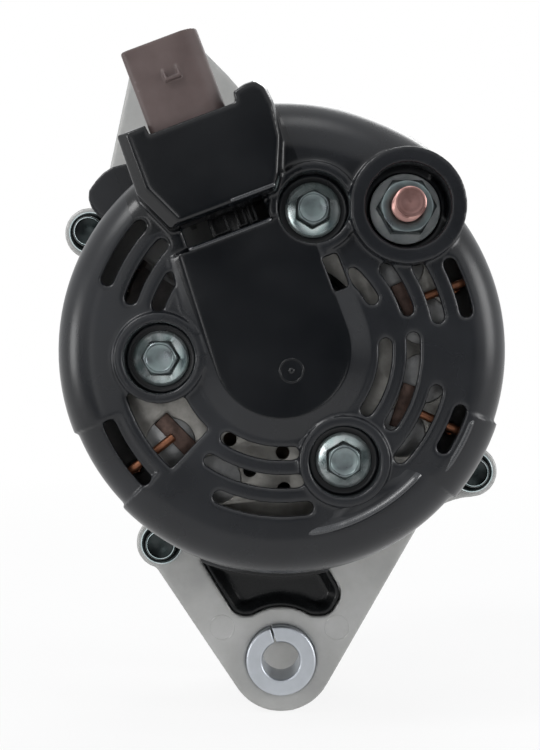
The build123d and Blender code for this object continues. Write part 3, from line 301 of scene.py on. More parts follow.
def turned(name, colour, rough, pitch):
    # fine tool marks run round the rotor axis
    finish, tree, shader = newFinish(name, colour, 1.0, rough)
    where = place(tree)
    marks = tree.nodes.new("ShaderNodeTexWave")
    marks.wave_type = "RINGS"
    marks.rings_direction = "Y"
    marks.inputs["Scale"].default_value = 1 / pitch
    marks.inputs["Distortion"].default_value = 1.5
    tree.links.new(where, marks.inputs["Vector"])
    broad = noise(tree, where, 0.2, 4.0)
    shade = ramp(tree, broad, [(0.3, shaded(colour, 0.78)), (0.6, colour)])
    feed(tree, shader, shade, spread(tree, broad, rough - 0.05, rough + 0.12))
    bumpy(tree, shader, marks.outputs["Fac"], 0.02, 0.3)
    return finish


laminateLook = {
    "colour": (0.16, 0.155, 0.15),
    "darker": (0.12, 0.11, 0.10),
    "middle": (0.19, 0.185, 0.18),
    "lighter": (0.24, 0.23, 0.22),
    "metal": 0.55,
    "sheets": 0.31,
}


def laminated():
    # thin sheets stacked along the rotor axis under a coat of varnish
    look = laminateLook
    finish, tree, shader = newFinish("laminatedIron", look["colour"], look["metal"], 0.5)
    where = place(tree)
    sheets = tree.nodes.new("ShaderNodeTexWave")
    sheets.bands_direction = "Y"
    sheets.inputs["Scale"].default_value = look["sheets"]
    tree.links.new(where, sheets.inputs["Vector"])
    broad = noise(tree, where, 0.15, 4.0)
    shade = ramp(tree, broad, [(0.3, look["darker"]), (0.55, look["middle"]), (0.75, look["lighter"])])
    feed(tree, shader, shade, spread(tree, broad, 0.42, 0.6))
    bumpy(tree, shader, sheets.outputs["Fac"], 0.12, 0.8)
    return finish


def plain(name, colour, metal, rough, specular=0.5, scale=0.3, depth=0.03, contrast=0.25):
    # shared by the smaller finishes: two tones, uneven gloss and a light grain
    finish, tree, shader = newFinish(name, colour, metal, rough, specular)
    where = place(tree)
    broad = noise(tree, where, scale, 4.0, 0.6)
    fine = noise(tree, where, scale * 9, 4.0, 0.6)
    shade = ramp(tree, broad, [(0.3, shaded(colour, 1 - contrast)), (0.5, colour),
                               (0.72, shaded(colour, 1 + contrast))])
    feed(tree, shader, shade, spread(tree, fine, rough - 0.06, rough + 0.08))
    bumpy(tree, shader, fine, depth, 0.45)
    return finish


finishes = {
    "black_plastic": mouldedBlack(),
    "brown_plastic": mouldedBrown(),
    "cast_aluminium": castAluminium(),
    "zinc_steel": plated("zincPlate", (0.62, 0.69, 0.70), (0.40, 0.51, 0.52), 0.22, metal=0.8),
    "copper_stud": plated("copperPlate", (0.50, 0.30, 0.27), (0.38, 0.21, 0.19), 0.34),
    "bright_steel": turned("machinedSteel", (0.60, 0.60, 0.61), 0.28, 0.9),
    "dark_steel": laminated(),
    "pressed_steel": plain("pressedSteel", (0.30, 0.30, 0.30), 0.9, 0.38, scale=0.25),
    "sink_metal": plain("sinkMetal", (0.30, 0.29, 0.27), 0.85, 0.40, scale=0.2),
    "copper_wire": plain("enamelledCopper", (0.28, 0.115, 0.06), 0.7, 0.38, scale=0.5, contrast=0.35),
    "copper_strip": plain("tinnedStrip", (0.115, 0.075, 0.062), 0.75, 0.38, scale=0.35, contrast=0.5),
    "dark_resin": plain("darkResin", (0.030, 0.030, 0.033), 0.0, 0.45, 0.4),
    "amber_resin": plain("amberResin", (0.13, 0.075, 0.04), 0.0, 0.42, 0.4),
    "carbon": plain("pressedCarbon", (0.045, 0.045, 0.047), 0.1, 0.55, 0.4),
    "seal_rubber": plain("sealRubber", (0.022, 0.022, 0.022), 0.0, 0.65, 0.3),
}
# further finishes for single pieces and for parts of a piece
ironFinish = plain("forgedIron", (0.20, 0.19, 0.185), 0.8, 0.42, scale=0.2)
sleeveFinish = plated("sleevePlate", (0.46, 0.485, 0.52), (0.42, 0.445, 0.475), 0.40)
flangeFinish = plated("flangeZinc", (0.76, 0.82, 0.82), (0.50, 0.63, 0.62), 0.17, metal=0.95)
collarFinish = plated("collarZinc", (0.88, 0.91, 0.91), (0.66, 0.72, 0.72), 0.34, metal=0.25)
# a much darker copy of the zinc for the hexagon heads: painted shade for the dark they reflect
shadedHeadFinish = plated("headZincPaintedShade", (0.22, 0.27, 0.27), (0.17, 0.19, 0.20), 0.30, metal=0.9)
# a glossier, slightly lighter black for the ridge crests and beads: a painted highlight
ridgeHighlightFinish = plain("ridgeGlossHighlight", (0.012, 0.014, 0.018), 0.0, 0.27, 0.9, contrast=0.2, depth=0.0006)
# a darker, duller copy of the black plastic for the tongue deep in the ear's pocket: painted shade
tongueShadeFinish = plain("tonguePlasticShaded", (0.0050, 0.0055, 0.0060), 0.0, 0.30, 0.28, contrast=0.15)
tipFinish = plated("stainedCopper", (0.22, 0.125, 0.115), (0.17, 0.09, 0.08), 0.42, metal=0.8)
# a near-black copy of the zinc: painted shadow on the through bolts' heads
paintedShadowPlate = plated("paintedShadowPlate", (0.045, 0.052, 0.053), (0.020, 0.028, 0.028), 0.28)
# near-black resin for the brush holder and the regulator under the hood: painted shade in place of
# their own resin colours
trayShadeFinish = plain("glossResinShaded", (0.008, 0.008, 0.009), 0.0, 0.28, 0.45)
print("finishes made:", len(finishes))


# every CAD node wears its finish, and pieces are made from here on

def coat(piece, finish):
    piece.data.materials.clear()
    piece.data.materials.append(finish)


for name, node in nodes.items():
    coat(node, finishes[slotOf[name]])


def smoothFaces(mesh, limit=None):
    mesh.polygons.foreach_set("use_smooth", [True] * len(mesh.polygons))
    if limit is not None:
        mesh.set_sharp_from_angle(angle=math.radians(limit))


def settle(piece, node, finish=None):
    # the new piece takes the node's place, body and slot
    coat(piece, finish or finishes[slotOf[node]])
    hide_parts(node)
    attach(piece, bodyOf[node])
    return piece


def secondFinish(piece, finish, chosen):
    # the faces whose middle, in millimetres, is chosen wear the further finish
    piece.data.materials.append(finish)
    for face in piece.data.polygons:
        if chosen(face.center / mm):
            face.material_index = len(piece.data.materials) - 1
    return piece


def opened(mesh):
    work = bmesh.new()
    work.from_mesh(mesh)
    return work


def closed(work, mesh):
    work.to_mesh(mesh)
    work.free()


def closedOutwards(work, piece, before=0):
    # the faces past the count of before are turned outwards first
    work.faces.ensure_lookup_table()
    bmesh.ops.recalc_face_normals(work, faces=work.faces[before:])
    closed(work, piece.data)
    smoothFaces(piece.data)


def inScene(name, data):
    thing = bpy.data.objects.new(name, data)
    bpy.context.scene.collection.objects.link(thing)
    return thing


def copyOf(node, name):
    mesh = nodes[node].data.copy()
    mesh.name = name
    piece = inScene(name, mesh)
    work = opened(mesh)
    bmesh.ops.remove_doubles(work, verts=work.verts, dist=weld)
    closed(work, mesh)
    return piece


def applied(piece):
    graph = bpy.context.evaluated_depsgraph_get()
    shaped = bpy.data.meshes.new_from_object(piece.evaluated_get(graph))
    piece.modifiers.clear()
    piece.data = shaped
    return piece


def pointAt(spot, out, angle, station):
    # a point round the spot's own axis along Y, given in millimetres
    across, up = spot["x"] + out * math.cos(angle), spot["z"] + out * math.sin(angle)
    return Vector((across * mm, station * mm, up * mm))


def valueAt(value, angle):
    return value(angle) if callable(value) else value


def turnRows(work, rows, spot, count=72, capFirst=True, capLast=True):
    # each row is a radius and a station along Y; either may change with the angle
    rings = []
    for radius, station in rows:
        ring = []
        for step in range(count):
            angle = 2 * math.pi * step / count
            point = pointAt(spot, valueAt(radius, angle), angle, valueAt(station, angle))
            ring.append(work.verts.new(point))
        rings.append(ring)
    for low, high in zip(rings, rings[1:]):
        for step in range(count):
            after = (step + 1) % count
            work.faces.new((low[step], low[after], high[after], high[step]))
    if capFirst:
        work.faces.new(rings[0])
    if capLast:
        work.faces.new(rings[-1])


def wireAlong(work, points, radius, sides=8):
    # a round wire through the points, closed at both ends
    around = [2 * math.pi * k / sides for k in range(sides)]
    side = None
    rings = []
    for step, point in enumerate(points):
        before, after = points[max(step - 1, 0)], points[min(step + 1, len(points) - 1)]
        way = (after - before).normalized()
        if side is None:
            side = way.orthogonal().normalized()
        side = (side - way * side.dot(way)).normalized()
        up = way.cross(side)
        rings.append([work.verts.new(point + radius * (math.cos(angle) * side + math.sin(angle) * up))
                      for angle in around])
    for low, high in zip(rings, rings[1:]):
        for k in range(sides):
            work.faces.new((low[k], low[(k + 1) % sides], high[(k + 1) % sides], high[k]))
    work.faces.new(rings[0])
    work.faces.new(rings[-1])


# cast and moulded pieces: the voxel size and the smoothing passes set how round their edges are
softLook = {
    "rear_cover": ("rearCoverMoulding", 0.42, 8),
    "rear_frame": ("rearFrameCasting", 0.55, 4),
    "drive_end_frame": ("driveFrameCasting", 0.60, 4),
    "connector_shell": ("plugHousing", 0.26, 4),
    "pivot_sleeve": ("splitSleeve", 0.22, 3),
}


def softened(node):
    name, voxel, passes = softLook[node]
    piece = copyOf(node, name)
    grid = piece.modifiers.new("grid", "REMESH")
    grid.mode = "VOXEL"
    grid.voxel_size = voxel * mm * 1
    calm = piece.modifiers.new("calm", "SMOOTH")
    calm.factor = 0.5
    calm.iterations = passes
    applied(piece)
    smoothFaces(piece.data)
    print("softened", node, len(piece.data.polygons))
    return settle(piece, node, sleeveFinish if node == "pivot_sleeve" else None)


# gate and ejector marks: kind, X, Z, the face that they stand on, radius, width, rise
markLook = {
    "rear_cover": [
        ("ring", 2.35, -5.2, -129.8, 2.9, 0.5, 0.14),
        ("pip", 2.35, -5.2, -129.8, 0.75, 0.3, 0.35),
    ],
    "rear_frame": [
        ("ring", -16.2, -75.4, -92.0, 3.35, 0.34, 0.10),
        ("ring", 15.4, -75.4, -92.0, 3.35, 0.34, 0.10),
    ],
}


def addMarks(node, piece):
    work = opened(piece.data)
    for kind, x, z, face, radius, width, rise in markLook[node]:
        sunk = face + 0.4
        if kind == "ring":
            rows = [
                (radius - width / 2 - 0.12, sunk),
                (radius - width / 2, face - rise * 0.7),
                (radius - width / 4, face - rise),
                (radius + width / 4, face - rise),
                (radius + width / 2, face - rise * 0.7),
                (radius + width / 2 + 0.12, sunk),
            ]
        else:
            rows = [
                (radius + 0.2, sunk),
                (radius, face - rise * 0.5),
                (radius * 0.7, face - rise),
                (0.1, face - rise),
            ]
        turnRows(work, rows, {"x": x, "z": z}, 48, False, False)
    closedOutwards(work, piece)


# low ridges where a flat turns into the shoulder: radius of the crest, from and to in degrees,
# width of the inner and the outer slope, rise
ridgeLook = {
    "rear_cover": [
        (46.5, -84, -41.5, 4.0, 0.8, 1.1),
        (50.9, -38.0, -20.0, 0.9, 0.7, 0.7),
    ],
}
ridgeStep = 0.6  # length of one row
ridgeCalm = 6  # rows to each side that the level is averaged over
coverFace = -128.0
rayStart = -0.15  # in metres, behind everything


def groundUnder(piece, x, z):
    # height of the rear surface at X and Z
    found, spot = piece.ray_cast(Vector((x * mm, rayStart, z * mm)), Vector((0, 1, 0)))[:2]
    return spot.y / mm if found else coverFace


def glossHighlightNew(piece, before, chosen=None):
    # faces added after the count of before wear the gloss of the ridges, a slightly lighter black: a
    # painted highlight
    piece.data.materials.append(ridgeHighlightFinish)
    for face in piece.data.polygons[before:]:
        if chosen is None or chosen(face.center / mm):
            face.material_index = len(piece.data.materials) - 1


def addRidges(node, piece):
    # each row of the ridge follows the surface that lies under it
    before = len(piece.data.polygons)
    work = opened(piece.data)
    for crest, start, end, inner, outer, rise in ridgeLook[node]:
        # across the ridge: distance from the crest, height as a share of the rise
        shape = [
            (-inner - 0.5, -0.6),
            (-inner, -0.05),
            (-inner * 0.55, 0.12),
            (-inner * 0.3, 0.32),
            (-inner * 0.15, 0.66),
            (-0.1, 0.96),
            (0.12, 1.0),
            (outer * 0.6, 0.55),
            (outer, 0.0),
            (outer + 0.4, -0.6),
        ]
        steps = int(math.radians(end - start) * crest / ridgeStep)
        turns = [math.radians(start + (end - start) * step / steps) for step in range(steps + 1)]
        ground = [[groundUnder(piece, (crest + off) * math.cos(turn), (crest + off) * math.sin(turn))
                   for off, height in shape] for turn in turns]
        rows = []
        for step, turn in enumerate(turns):
            near = ground[max(0, step - ridgeCalm):step + ridgeCalm + 1]
            # the ridge rises slowly at its start and ends short
            full = min(1.0, step / steps * 3.0, (1 - step / steps) * 18.0)
            row = []
            for k, (off, height) in enumerate(shape):
                level = sum(line[k] for line in near) / len(near)
                lift = (height * full if height > 0 else height) * rise - (1 - full) * 0.2
                row.append(work.verts.new(pointAt(axis, crest + off, turn, level - lift)))
            rows.append(row)
        for near, far in zip(rows, rows[1:]):
            for k in range(len(shape) - 1):
                work.faces.new((near[k], near[k + 1], far[k + 1], far[k]))
    closedOutwards(work, piece, before)

    def onCrest(spot):
        off = math.hypot(spot.x, spot.z)
        return any(ridge[0] - 1.0 < off < ridge[0] + 0.3 for ridge in ridgeLook[node])

    # the crests wear the lighter black, a painted highlight
    glossHighlightNew(piece, before, onCrest)


# straight beads on the edges of the panel and the hood, measured along the lean:
# from X, to X, at Z, on Y, radius
beadLook = {
    "rear_cover": [
        (-12.9, 9.0, 31.4, -129.6, 0.6),
        (1.0, 12.5, 38.3, -137.85, 0.5),
    ],
}
beadSteps = 12


def addBeads(node, piece):
    before = len(piece.data.polygons)
    work = opened(piece.data)
    turn = Matrix.Rotation(-lean, 3, "Y")
    for start, end, height, face, radius in beadLook[node]:
        points = [turn @ Vector((start + (end - start) * step / beadSteps, face, height)) * mm
                  for step in range(beadSteps + 1)]
        wireAlong(work, points, radius * mm, 16)
    closedOutwards(work, piece, before)
    # the beads wear the lighter black, a painted highlight
    glossHighlightNew(piece, before)


tongueTop = -58.5  # the cover's tongue lies below this height

for softNode in softLook:
    softPiece = softened(softNode)
    if softNode in ridgeLook:
        addRidges(softNode, softPiece)
    if softNode in beadLook:
        addBeads(softNode, softPiece)
    if softNode in markLook:
        addMarks(softNode, softPiece)
    if softNode == "rear_cover":
        # the tongue below this height wears the darker plastic, a painted shade
        secondFinish(softPiece, tongueShadeFinish, lambda spot: spot.z < tongueTop)


# hardware, turned from rows of points round an axis along Y

def islands(node):
    # each separate solid of a node: its middle in X and Z, its front and its rear, in millimetres
    work = opened(nodes[node].data)
    bmesh.ops.remove_doubles(work, verts=work.verts, dist=weld)
    left = set(work.verts)
    found = []
    while left:
        group = [left.pop()]
        for vert in group:
            for edge in vert.link_edges:
                other = edge.other_vert(vert)
                if other in left:
                    left.remove(other)
                    group.append(other)
        xs, ys, zs = zip(*[vert.co / mm for vert in group])
        found.append({"x": (min(xs) + max(xs)) / 2, "z": (min(zs) + max(zs)) / 2,
                      "front": max(ys), "rear": min(ys)})
    work.free()
    return sorted(found, key=lambda spot: math.atan2(spot["z"], spot["x"]))


def hexEdge(flats, turn):
    # distance from the middle to a hexagon's edge, by angle
    def reach(angle):
        off = (angle - math.radians(turn)) % math.radians(60) - math.radians(30)
        return flats / 2 / math.cos(off)
    return reach


def beside(edge, off):
    return lambda angle: edge(angle) + off


def onSlope(edge, look, station):
    # a height over the flange, which slopes down from the hexagon to the cone's radius
    return lambda angle: station - (look["cone"] - edge(angle)) * look["slope"]


def onBevel(edge, look, top, fall, past=0.0):
    # the corners of the hexagon fall away outside the bevel's circle
    return lambda angle: top + (edge(angle) - look["bevel"]) * fall + past


def threadRows(work, spot, first, last, pitch, crest, root, count=48):
    # a real helix; it fades into the root at both ends
    way = -1 if last < first else 1
    length = abs(last - first)
    profile = ((0.0, root), (0.12, root), (0.45, crest), (0.67, crest))  # share of the pitch, radius
    turn = len(profile)
    total = turn * (int(length / pitch) + 3)
    columns = []
    for step in range(count):
        column = []
        for row in range(total):
            part, out = profile[row % turn]
            along = (row // turn + part + step / count - 1) * pitch
            if along <= 0 or along >= length:
                along, out = min(max(along, 0), length), root
            angle = 2 * math.pi * step / count
            column.append(work.verts.new(pointAt(spot, out, angle, first + way * along)))
        columns.append(column)
    for step in range(count):
        seam = turn if step == count - 1 else 0
        near, far = columns[step], columns[(step + 1) % count]
        for row in range(total - 1 - seam):
            work.faces.new((near[row], far[row + seam], far[row + seam + 1], near[row + 1]))


def pieceFrom(work, name, sharp=38):
    bmesh.ops.remove_doubles(work, verts=work.verts, dist=1.5 * weld)
    bmesh.ops.dissolve_degenerate(work, edges=work.edges, dist=weld)
    bmesh.ops.recalc_face_normals(work, faces=work.faces)
    mesh = bpy.data.meshes.new(name)
    closed(work, mesh)
    smoothFaces(mesh, sharp)
    return inScene(name, mesh)


coverBoltLook = {
    "shank": 3.0,
    "flange": 7.2,
    "cone": 6.4,
    "slope": 0.11,
    "flats": 8.2,
    "head": 6.5,
    "bevel": 3.75,
    "collar": 1.5,  # height that wears the flange's finish
    "turns": {183: 0, 299: 32, 77: 28},  # place round the rotor axis and turn of the hexagon
}


def makeCoverBolts():
    look = coverBoltLook
    shank, flange, cone, bevel = look["shank"], look["flange"], look["cone"], look["bevel"]
    work = bmesh.new()
    for spot in islands("cover_bolts"):
        around = math.degrees(math.atan2(spot["z"], spot["x"])) % 360
        turn = look["turns"][min(look["turns"], key=lambda mark: abs(mark - around))]
        edge = hexEdge(look["flats"], turn)
        end, top = spot["front"], spot["rear"]
        seat = top + look["head"]
        rows = [
            (2.3, end), (shank, end - 0.7), (shank, seat),
            # the flange and its round rim
            (flange - 0.5, seat), (flange - 0.12, seat - 0.1), (flange, seat - 0.35),
            (flange, seat - 0.6), (flange - 0.12, seat - 0.85), (flange - 0.4, seat - 0.98),
            (cone, seat - 1.05), (cone - 0.2, seat - 1.1),
            # up the slope and the sides of the hexagon
            (beside(edge, 0.4), onSlope(edge, look, seat - 1.06)),
            (beside(edge, 0.1), onSlope(edge, look, seat - 1.2)),
            (edge, onSlope(edge, look, seat - 1.45)),
            (edge, onBevel(edge, look, top, 0.62, 0.12)),
            (beside(edge, -0.1), onBevel(edge, look, top, 0.62)),
            # the top with its shallow dimple
            (bevel + 0.12, top + 0.06), (bevel - 0.05, top), (bevel - 0.2, top + 0.02),
            (bevel - 0.4, top + 0.30), (bevel - 0.55, top + 0.38), (1.9, top + 0.42),
            (1.2, top + 0.48), (0.15, top + 0.5),
        ]
        turnRows(work, rows, spot)
    # the heads wear the darker zinc, a painted shade
    piece = settle(pieceFrom(work, "coverBolts"), "cover_bolts", shadedHeadFinish)
    return secondFinish(piece, flangeFinish, lambda spot: seat - look["collar"] < spot.y)


nutLook = {
    "flange": 8.95,
    "cone": 8.6,
    "slope": 0.11,
    "flats": 13.0,
    "bore": 3.65,
    "bevel": 6.3,
    "collar": 2.0,  # height that wears the collar's finish
}


def makeBatteryNut():
    look = nutLook
    flange, bore, bevel = look["flange"], look["bore"], look["bevel"]
    spot = islands("battery_nut")[0]
    edge = hexEdge(look["flats"], 0)
    seat, top = spot["front"], spot["rear"]
    rows = [
        (bore, seat),
        # the flange
        (flange - 0.5, seat), (flange - 0.12, seat - 0.12), (flange, seat - 0.4),
        (flange, seat - 0.9), (flange - 0.1, seat - 1.1), (look["cone"], seat - 1.25),
        # up the slope and the sides of the hexagon
        (beside(edge, 0.4), onSlope(edge, look, seat - 1.3)),
        (beside(edge, 0.1), onSlope(edge, look, seat - 1.45)),
        (edge, onSlope(edge, look, seat - 1.7)),
        (edge, onBevel(edge, look, top, 0.6, 0.15)),
        (beside(edge, -0.12), onBevel(edge, look, top, 0.6)),
        # the top and the bevelled bore
        (bevel + 0.1, top + 0.05), (bevel - 0.15, top), (4.7, top), (4.45, top + 0.1),
        (3.95, top + 0.75), (bore, top + 0.95), (bore, seat),
    ]
    work = bmesh.new()
    turnRows(work, rows, spot, 96, False, False)
    # the head wears the darker zinc, a painted shade
    piece = settle(pieceFrom(work, "batteryNut"), "battery_nut", shadedHeadFinish)
    return secondFinish(piece, collarFinish, lambda spot: spot.y > seat - look["collar"])


studLook = {
    "crest": 4.0,
    "root": 3.5,
    "pitch": 1.25,
    "headFlats": 12.0,
    "head": 3.0,
    "dimple": 2.2,
    "end": 0.75,  # length of the turned end past the thread
}


def makeBatteryStud():
    look = studLook
    crest, root = look["crest"], look["root"]
    spot = islands("battery_stud")[0]
    nut = islands("battery_nut")[0]
    spot["x"], spot["z"] = nut["x"], nut["z"]
    edge = hexEdge(look["headFlats"], 0)
    front, tip = spot["front"], spot["rear"]
    shank = [
        (crest, front), (beside(edge, -0.3), front), (edge, front - 0.3), (edge, front - look["head"]),
        (crest, front - look["head"]), (crest, nut["front"] + 0.4), (root, nut["front"]),
    ]
    end = [
        (root, tip + look["end"]), (root + 0.12, tip + 0.35), (root + 0.05, tip + 0.12),
        (root - 0.12, tip), (2.85, tip), (2.7, tip + 0.07), (look["dimple"], tip + 0.12),
        (0.8, tip + 0.16), (0.5, tip + 0.3), (0.15, tip + 0.32),
    ]
    work = bmesh.new()
    turnRows(work, shank, spot, 48, True, False)
    threadRows(work, spot, nut["front"], tip + look["end"], look["pitch"], crest, root)
    turnRows(work, end, spot, 48, False, True)
    piece = settle(pieceFrom(work, "batteryStud", 50), "battery_stud")
    return secondFinish(piece, tipFinish, lambda spot: spot.y < tip + 0.34)


throughBoltLook = {
    "shank": 3.0,
    "flange": 5.7,
    "rim": 1.0,
    "cap": 4.15,
    "head": 5.5,
    "crest": 3.0,
    "root": 2.6,
    "thread": 16.0,
    "pitch": 1.0,
}


def makeThroughBolts():
    look = throughBoltLook
    flange, rim, cap, root = look["flange"], look["rim"], look["cap"], look["root"]
    spots = islands("through_bolts")
    work = bmesh.new()
    for spot in spots:
        end, top = spot["front"], spot["rear"]
        threaded = end - look["thread"]
        seat = top + look["head"]
        rows = [
            (root, threaded), (look["shank"], threaded - 0.5), (look["shank"], seat),
            # the flange
            (flange - 0.4, seat), (flange, seat - 0.3), (flange, seat - rim),
            (flange - 0.3, seat - rim - 0.3), (flange - 0.75, seat - rim - 0.3),
            # the round head, hollow at its end
            (cap + 0.35, seat - 1.1), (cap, seat - 1.6), (cap, top + 0.5), (cap - 0.12, top + 0.15),
            (cap - 0.35, top), (cap - 0.55, top), (cap - 0.75, top + 0.35),
            (2.2, top + 0.75), (1.0, top + 0.9), (0.15, top + 0.92),
        ]
        threadRows(work, spot, end, threaded, look["pitch"], look["crest"], root, 32)
        turnRows(work, [(0.15, end), (root, end)], spot, 32, True, False)
        turnRows(work, rows, spot, 32, False, True)
    piece = settle(pieceFrom(work, "throughBolts"), "through_bolts")
    deep = spots[0]["rear"] + look["head"] - rim

    def inPaintedShadow(face):
        # the heads get a painted shadow, but for the flange's edge and the rim of the hollow
        off = min(math.hypot(face.x - spot["x"], face.z - spot["z"]) for spot in spots)
        onRim = cap - 0.55 < off < cap - 0.3
        return face.y < deep and off < flange - 0.45 and not onRim

    return secondFinish(piece, paintedShadowPlate, inPaintedShadow)


pulleyLook = {
    "ribs": 6,
    "pitch": 3.56,
    "depth": 2.9,
    "radius": 27.0,
    "rise": 1.0,
    "bore": 8.5,
    "seat": 1.5,
    "tip": 0.35,
}


def makePulley():
    look = pulleyLook
    radius, pitch, tip = look["radius"], look["pitch"], look["tip"]
    bore, seat = look["bore"], look["seat"]
    low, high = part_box("pulley")
    front, rear = high.y / mm, low.y / mm
    span = look["ribs"] * pitch
    rim = radius + look["rise"]
    bottom = radius - look["depth"]
    rows = [
        # the recess in front and the front flange
        (bore, seat), (16.5, seat), (17.2, seat + 0.5), (18.3, front - 0.5), (18.9, front),
        (rim - 0.7, front), (rim - 0.2, front - 0.2), (rim, front - 0.7), (rim, span / 2 + 0.9),
        (rim - 0.2, span / 2 + 0.6), (radius, span / 2),
    ]
    for rib in range(look["ribs"]):
        start = span / 2 - rib * pitch
        rows += [
            (radius, start - 0.22), (radius - 0.14, start - tip - 0.08),
            (bottom + 0.2, start - pitch / 2 + 0.55), (bottom, start - pitch / 2 + 0.3),
            (bottom, start - pitch / 2 - 0.3), (bottom + 0.2, start - pitch / 2 - 0.55),
            (radius - 0.14, start - pitch + tip + 0.08), (radius, start - pitch + 0.22),
        ]
    rows += [
        # the rear flange, the hollow behind it and the bore
        (radius, -span / 2), (rim - 0.2, -span / 2 - 0.6), (rim, -span / 2 - 0.9), (rim, rear + 0.7),
        (rim - 0.2, rear + 0.2), (rim - 0.7, rear), (21.4, rear), (20.7, rear + 0.5),
        (20.0, rear + 4.6), (19.4, rear + 5.0), (15.2, rear + 5.0), (14.5, rear + 4.5),
        (13.6, rear + 0.4), (13.2, rear), (bore, rear), (bore, seat),
    ]
    work = bmesh.new()
    turnRows(work, rows, axis, 128, False, False)
    return settle(pieceFrom(work, "ribbedPulley", 30), "pulley")


pulleyNutLook = {
    "flats": 24.0,
    "flange": 15.5,
    "rim": 2.5,
    "bore": 8.0,
    "bevel": 11.6,
}


def makePulleyNut():
    look = pulleyNutLook
    flange, bore = look["flange"], look["bore"]
    low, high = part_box("pulley_nut")
    seat, top = low.y / mm, high.y / mm
    collar = seat + look["rim"]
    edge = hexEdge(look["flats"], 0)
    rows = [
        (bore, seat), (flange - 0.5, seat), (flange, seat + 0.5), (flange, collar - 0.6),
        (flange - 0.6, collar), (beside(edge, 0.25), collar + 0.05), (edge, collar + 0.5),
        (edge, onBevel(edge, look, top, -0.6, -0.2)),
        (beside(edge, -0.15), onBevel(edge, look, top, -0.6, -0.05)),
        (look["bevel"], top), (9.3, top), (bore, top - 1.0), (bore, seat),
    ]
    work = bmesh.new()
    turnRows(work, rows, axis, 96, False, False)
    return settle(pieceFrom(work, "pulleyNut"), "pulley_nut")


makeCoverBolts()
makeBatteryNut()
makeBatteryStud()
makeThroughBolts()
makePulley()
makePulleyNut()
print("bolts, nuts, stud and pulley made")


# the stator's conductors: hairpins that cross over six slots at each end

windingLook = {
    "slots": 48,
    "reach": 6,
    "wire": 0.66,
    "middle": 50.65,
    "layers": (-2.1, -0.7, 0.7, 2.1),
    "depth": 15.2,  # into the slot, from the core's face
    "straight": 2.0,
    "overhang": 8.6,
    "steps": 6,
}


def hairpinPlan(near, far):
    # along one hairpin: radius, place in slots, height over the core's face
    look = windingLook
    reach, straight, overhang, steps = look["reach"], look["straight"], look["overhang"], look["steps"]
    climb = overhang - 3.0
    plan = [(near, 0, -look["depth"]), (near, 0, 0.9), (near, 0.12, straight)]
    for k in range(1, steps):
        plan.append((near, reach / 2 * k / steps, straight + climb * k / steps))
    plan.append(((near * 2 + far) / 3, reach / 2 - 0.12, overhang - 0.25))
    plan.append(((near + far) / 2, reach / 2, overhang))
    plan.append(((near + far * 2) / 3, reach / 2 + 0.12, overhang - 0.25))
    for k in range(steps - 1, 0, -1):
        plan.append((far, reach * (1 - k / (2 * steps)), straight + climb * k / steps))
    return plan + [(far, reach - 0.12, straight), (far, reach, 0.9), (far, reach, -look["depth"])]


def windStator():
    look = windingLook
    low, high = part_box("stator_core")
    work = bmesh.new()
    pitch = 2 * math.pi / look["slots"]
    for face, way in ((high.y / mm, 1), (low.y / mm, -1)):
        for inner, outer in ((0, 1), (2, 3)):
            near = look["middle"] + look["layers"][inner]
            far = look["middle"] + look["layers"][outer]
            for slot in range(look["slots"]):
                points = [pointAt(axis, out, slot * pitch + slots * pitch, face + way * rise)
                          for out, slots, rise in hairpinPlan(near, far)]
                wireAlong(work, points, look["wire"] * mm)
    return settle(pieceFrom(work, "statorHairpins", 60), "stator_winding")


windStator()
print("stator wound")


# sheet metal, poles and mouldings inside: the CAD shape with its edges broken

# width of the broken edge
edgeLook = {
    "front_fan": 0.22, "rear_fan": 0.22, "front_pole": 0.45, "rear_pole": 0.45,
    "positive_heat_sink": 0.22, "negative_heat_sink": 0.22, "phase_terminals": 0.2,
    "regulator": 0.35, "brush_holder": 0.18,
    "bearing_retainer": 0.25, "shaft_spacer": 0.3, "rotor_shaft": 0.25, "terminal_board": 0.2,
    "battery_insulator": 0.25, "battery_collar": 0.2, "regulator_screws": 0.2, "retainer_screws": 0.2,
    "connector_pins": 0.15, "stator_core": 0.15, "positive_diodes": 0.15, "negative_diodes": 0.15,
    "brush_a": 0.15, "brush_b": 0.15, "coil_bobbin": 0.3, "slip_ring_moulding": 0.2,
}
# pieces whose finish differs from that of their slot
specialLook = {
    "front_pole": ironFinish,
    "rear_pole": ironFinish,
    # the brush holder and the regulator under the hood wear near-black, a painted shade
    "brush_holder": trayShadeFinish,
    "regulator": trayShadeFinish,
}


def edgesBroken(node, width):
    words = node.split("_")
    piece = copyOf(node, words[0] + "".join(word.title() for word in words[1:]) + "Piece")
    work = opened(piece.data)
    bmesh.ops.dissolve_limit(work, angle_limit=math.radians(1.0), verts=work.verts, edges=work.edges)
    closed(work, piece.data)
    broken = piece.modifiers.new("edges", "BEVEL")
    broken.width = width * mm
    broken.segments = 2
    broken.limit_method = "ANGLE"
    broken.angle_limit = math.radians(35)
    broken.use_clamp_overlap = True
    applied(piece)
    smoothFaces(piece.data, 40)
    return settle(piece, node, specialLook.get(node))


for edgeNode, width in edgeLook.items():
    edgesBroken(edgeNode, width)
print("edges broken on", len(edgeLook), "nodes")


# floor, light and camera

stageLook = {
    "gap": 0.4,
    "reach": 3.0,
    "white": (0.96, 0.96, 0.96),
    "mirrored": (0.95, 0.95, 0.95),
    # the camera sees this share of plain white near the object, and all of it further out
    "nearShare": 0.86,
    "fadeFrom": 0.15,
    "fadeTo": 0.9,
    # reflections see the floor dim behind the camera
    "dim": (0.06, 0.07, 0.08),
    "dimFrom": -0.62,
    "brightFrom": -0.40,
}


